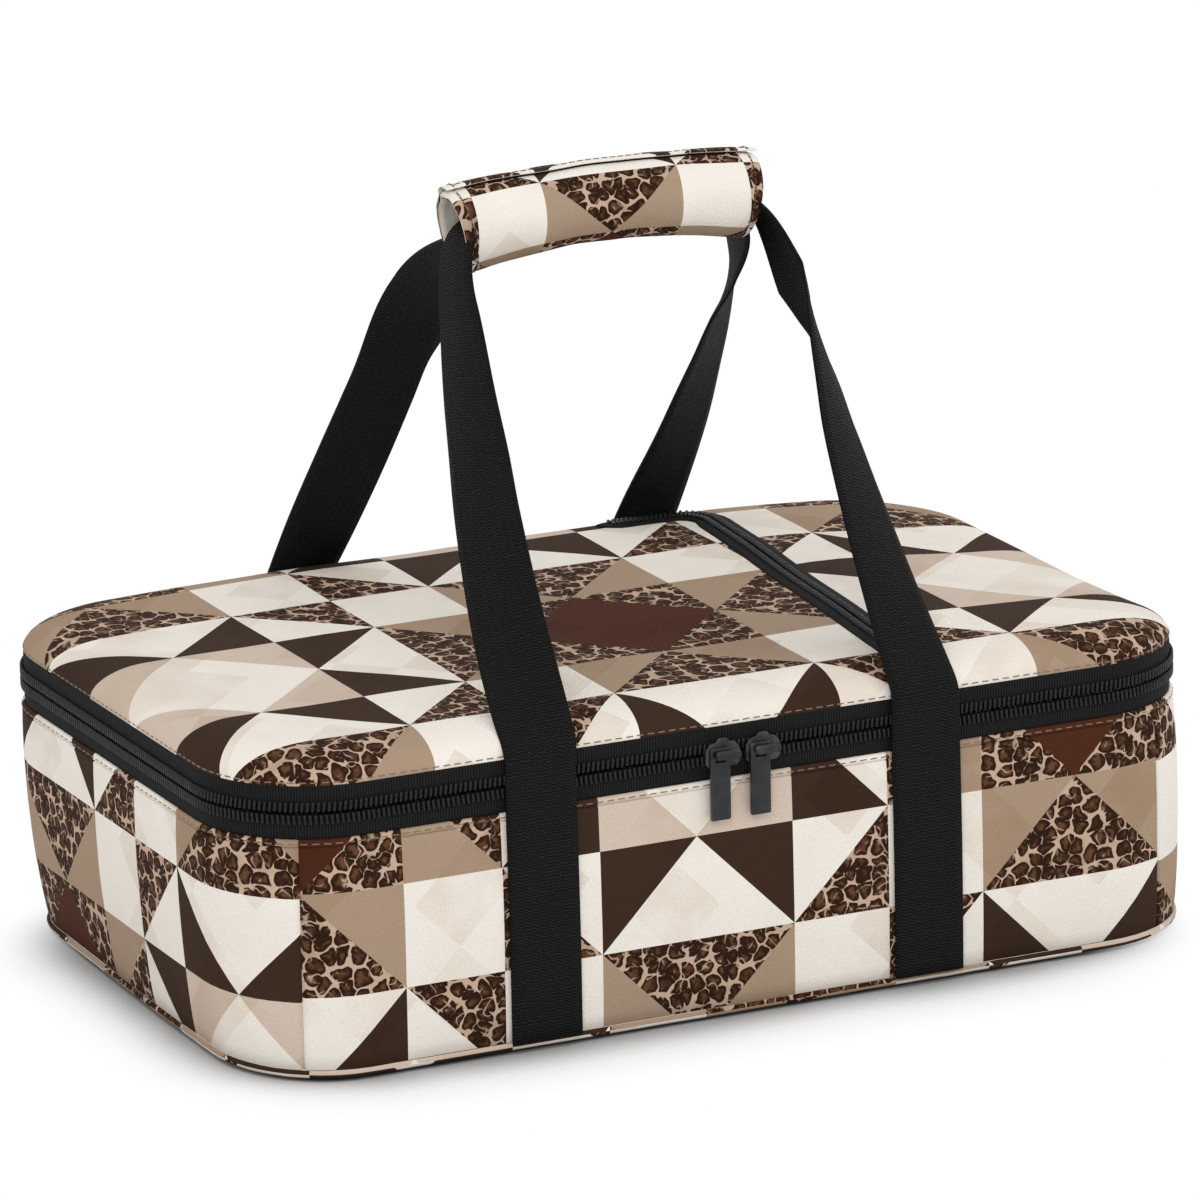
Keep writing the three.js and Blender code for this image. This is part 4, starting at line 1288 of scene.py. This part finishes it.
def liningSpot(mark, inset, z):
    # follows the tucked foot of the wall, and swells a little below the rim
    tuck = max(0.0, sum(footTuck(mark)) - wall["tuck"]["back"]) * (1 - z / lining["top"])
    place = rimPoint(mark, inset + tuck, z)
    deep = max(0.0, min(1.0, (lining["top"] - z) / 0.02))
    out = outlineAt(mark)[1]
    swell = abs(wave(place, 0.03, lining["ripple"], 8)) * deep
    place.x -= out.x * swell
    place.y -= out.y * swell
    return place


def makeBagLining():
    top, side = lining["top"], lining["wallIn"] + 0.0002
    profile = [(0.0020, 0.1030), (lining["rimIn"], top - 0.0003), (0.0030, top + 0.0004),
               (0.0058, top + 0.0004), (lining["wallIn"], top - 0.0010)]
    profile += [(side, z) for z in (0.098, 0.085, 0.07, 0.055, 0.04, 0.026)]
    for share in evenShares(lining["coveSteps"]):
        angle = math.pi / 2 * share
        profile.append((side + lining["cove"] * (1 - math.cos(angle)),
                        lining["floor"] + lining["cove"] * (1 - math.sin(angle))))
    rows = profileRows(profile, liningSpot)
    closeOver(rows, ringAt(profile[-1][0] + lining["floorIn"], lining["floor"]), lining["shares"],
              lambda place: abs(wave(place, 0.04, lining["ripple"], 9)))
    foilPiece(rows, "bag_lining", "bag", ["lining_wall", "lining_floor", "wall_foam", "floor_foam"], 1)


def makeLidLining():
    under = lining["lidUnder"]
    profile = [(0.0020, 0.1130), (0.0021, 0.1101), (0.0030, 0.1096), (0.0056, 0.1096), (0.0070, 0.1106),
               (0.0072, 0.1135), (0.0075, 0.1165), (0.0092, 0.1188), (0.0125, under), (0.020, under)]
    rows = profileRows(profile, rimPoint)
    closeOver(rows, ringAt(lining["lidIn"], under), lining["shares"],
              lambda place: -abs(wave(place, 0.04, lining["lidRipple"], 12)))
    foilPiece(rows, "lid_underside", "lid", ["lid_lining", "lid_rim_foam", "lid_foam"], -1)


def makePocketCloth():
    # bottom of the lid's pocket, hung just under the cover
    rows = []
    closeOver(rows, ringAt(lining["pocketIn"], bag["lidTop"] - lining["pocketDrop"]),
              lining["pocketShares"], lidSag)
    clothPiece(rows, lining["pocketThick"], "pocket_cloth", [tapeCloth], "lid",
               ["pocket_lining"], 1e-5)


def makeHinge():
    # printed cloth over the back straight between the wall and the lid
    rows = []
    marks = [backCorner * (2 * share - 1) for share in evenShares(lining["hingeColumns"])]
    for share in evenShares(lining["hingeRows"]):
        z = bandLow + (bandHigh - bandLow) * share
        inset = 0.0009 - 0.0004 * math.sin(math.pi * share)
        inset += 0.0003 * math.exp(-((z - zipSplit) / 0.0012) ** 2)
        rows.append([(rimPoint(mark, inset, z), (mark, z)) for mark in marks])
    piece = clothPiece(rows, lining["hingeThick"], "back_hinge_cloth", [backPrint], None,
                       ["back_hinge_strip"])
    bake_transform(piece)


makeBagLining()
makeLidLining()
makePocketCloth()
makeHinge()
print("linings made")


# the CAD node that stays gets its own finish
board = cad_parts["base_board"]
board.data.materials.clear()
board.data.materials.append(stiffBoard)


# floor, light and camera
studio = {
    "floorSize": 14.0, "worldLevel": 0.84, "shadowReach": 0.052,
    "shadowBox": ((0.014 - halfLength, halfLength - 0.045), (-halfWidth - 0.006, halfWidth - 0.040)),
    # reach and darkness of the contact shadow painted into the floor paper
    "paintedShadowReach": 0.036, "paintedShadowDark": 0.20,
    # place, power and size of each lamp
    "key": ((-1.2, -1.9, 2.3), 24, 1.6), "fill": ((1.9, -1.2, 1.4), 8, 1.4), "lampTarget": (0, 0, 0.1),
    "cameraPlace": (-1.48078, -3.14841, 1.13254), "yaw": 25.2265, "pitch": 15.9915, "roll": -1.0995,
    "focalPixels": 8969.1, "imagePixels": 1200, "sensor": 36.0,
}


def eyeRays(tree):
    # 1 for what the camera sees, straight, in a reflection or through something clear
    path = put(tree, "ShaderNodeLightPath").outputs
    return calc(tree, "MAXIMUM", path["Is Camera Ray"],
                calc(tree, "MAXIMUM", path["Is Glossy Ray"], path["Is Transmission Ray"]))


def floorFinish():
    # paper that the camera sees near white, darkened by the real shadow and by a contact shadow painted
    # into its colour
    finish = bpy.data.materials.new("floorPaper")
    tree = freshTree(finish)
    grain = speckle(tree, objectMap(tree), 400.0)
    # painted shadow: ambient occlusion near the bag darkens the paper's own colour
    paintedShadowAO = put(tree, "ShaderNodeAmbientOcclusion", {"Distance": studio["paintedShadowReach"]}, samples=8)
    shade = fade(tree, paintedShadowAO.outputs["AO"], 0.30, 0.98, studio["paintedShadowDark"], 1.0)
    white = blendColour(tree, grain, paint(244, 244, 244), paint(250, 250, 250))
    paper = put(tree, "ShaderNodeBsdfDiffuse", {"Color": blendColour(tree, shade, (0, 0, 0, 1), white)})
    glow = put(tree, "ShaderNodeEmission", {"Color": (1, 1, 1, 1), "Strength": 1.0})
    # the shadow shows close to the bag, and the paper goes to white away from it
    parts = partsOf(tree, objectMap(tree))
    sides = []
    for part, (low, high) in zip(parts, studio["shadowBox"]):
        out = calc(tree, "MAXIMUM", calc(tree, "SUBTRACT", low + bag["corner"], part),
                   calc(tree, "SUBTRACT", part, high - bag["corner"]))
        sides.append(calc(tree, "POWER", calc(tree, "MAXIMUM", out, 0.0), 2.0))
    away = calc(tree, "SUBTRACT", calc(tree, "SQRT", calc(tree, "ADD", *sides)), bag["corner"])
    lift = fade(tree, away, 0.0, studio["shadowReach"], 0.0, 1.0)
    seen = calc(tree, "MULTIPLY", eyeRays(tree), lift)
    mixed = put(tree, "ShaderNodeMixShader", {0: seen, 1: paper.outputs[0], 2: glow.outputs[0]})
    sendOut(tree, mixed.outputs[0])
    return finish


def makeFloor():
    bm = startMesh()
    bmesh.ops.create_grid(bm, x_segments=4, y_segments=4, size=studio["floorSize"] / 2)
    mesh = bpy.data.meshes.new("studio_floor")
    bm.to_mesh(mesh)
    bm.free()
    floor = bpy.data.objects.new("studio_floor", mesh)
    scene.collection.objects.link(floor)
    floor.location.z = -0.0002
    mesh.materials.append(floorFinish())


def makeLight(name):
    place, power, size = studio[name]
    lamp = bpy.data.lights.new(name, "AREA")
    lamp.energy = power
    lamp.shape = "DISK"
    lamp.size = size
    holder = bpy.data.objects.new(name, lamp)
    scene.collection.objects.link(holder)
    holder.location = place
    aim = Vector(studio["lampTarget"]) - Vector(place)
    holder.rotation_euler = aim.to_track_quat("-Z", "Y").to_euler()


def makeWorld():
    world = bpy.data.worlds.new("studio")
    scene.world = world
    tree = freshTree(world)
    seen = eyeRays(tree)
    plain = put(tree, "ShaderNodeBackground", {"Color": (1, 1, 1, 1), "Strength": studio["worldLevel"]})
    white = put(tree, "ShaderNodeBackground", {"Color": (1, 1, 1, 1), "Strength": 1.0})
    mixed = put(tree, "ShaderNodeMixShader", {0: seen, 1: plain.outputs[0], 2: white.outputs[0]})
    sendOut(tree, mixed.outputs[0], "ShaderNodeOutputWorld")


def makeCamera():
    yaw, pitch, roll = (math.radians(studio[name]) for name in ("yaw", "pitch", "roll"))
    ahead = Vector((math.sin(yaw) * math.cos(pitch), math.cos(yaw) * math.cos(pitch), -math.sin(pitch)))
    right = Vector((math.cos(yaw), -math.sin(yaw), 0))
    up = right.cross(ahead)
    across = right * math.cos(roll) + up * math.sin(roll)
    upright = up * math.cos(roll) - right * math.sin(roll)
    lens = bpy.data.cameras.new("photo_view")
    lens.sensor_width = studio["sensor"]
    lens.lens = studio["focalPixels"] / studio["imagePixels"] * studio["sensor"]
    lens.clip_end = 50
    holder = bpy.data.objects.new("photo_view", lens)
    scene.collection.objects.link(holder)
    holder.matrix_world = seat(studio["cameraPlace"], across, upright, -ahead)
    scene.camera = holder


makeFloor()
makeWorld()
makeLight("key")
makeLight("fill")
makeCamera()
scene.view_settings.view_transform = "Standard"
print("studio made")
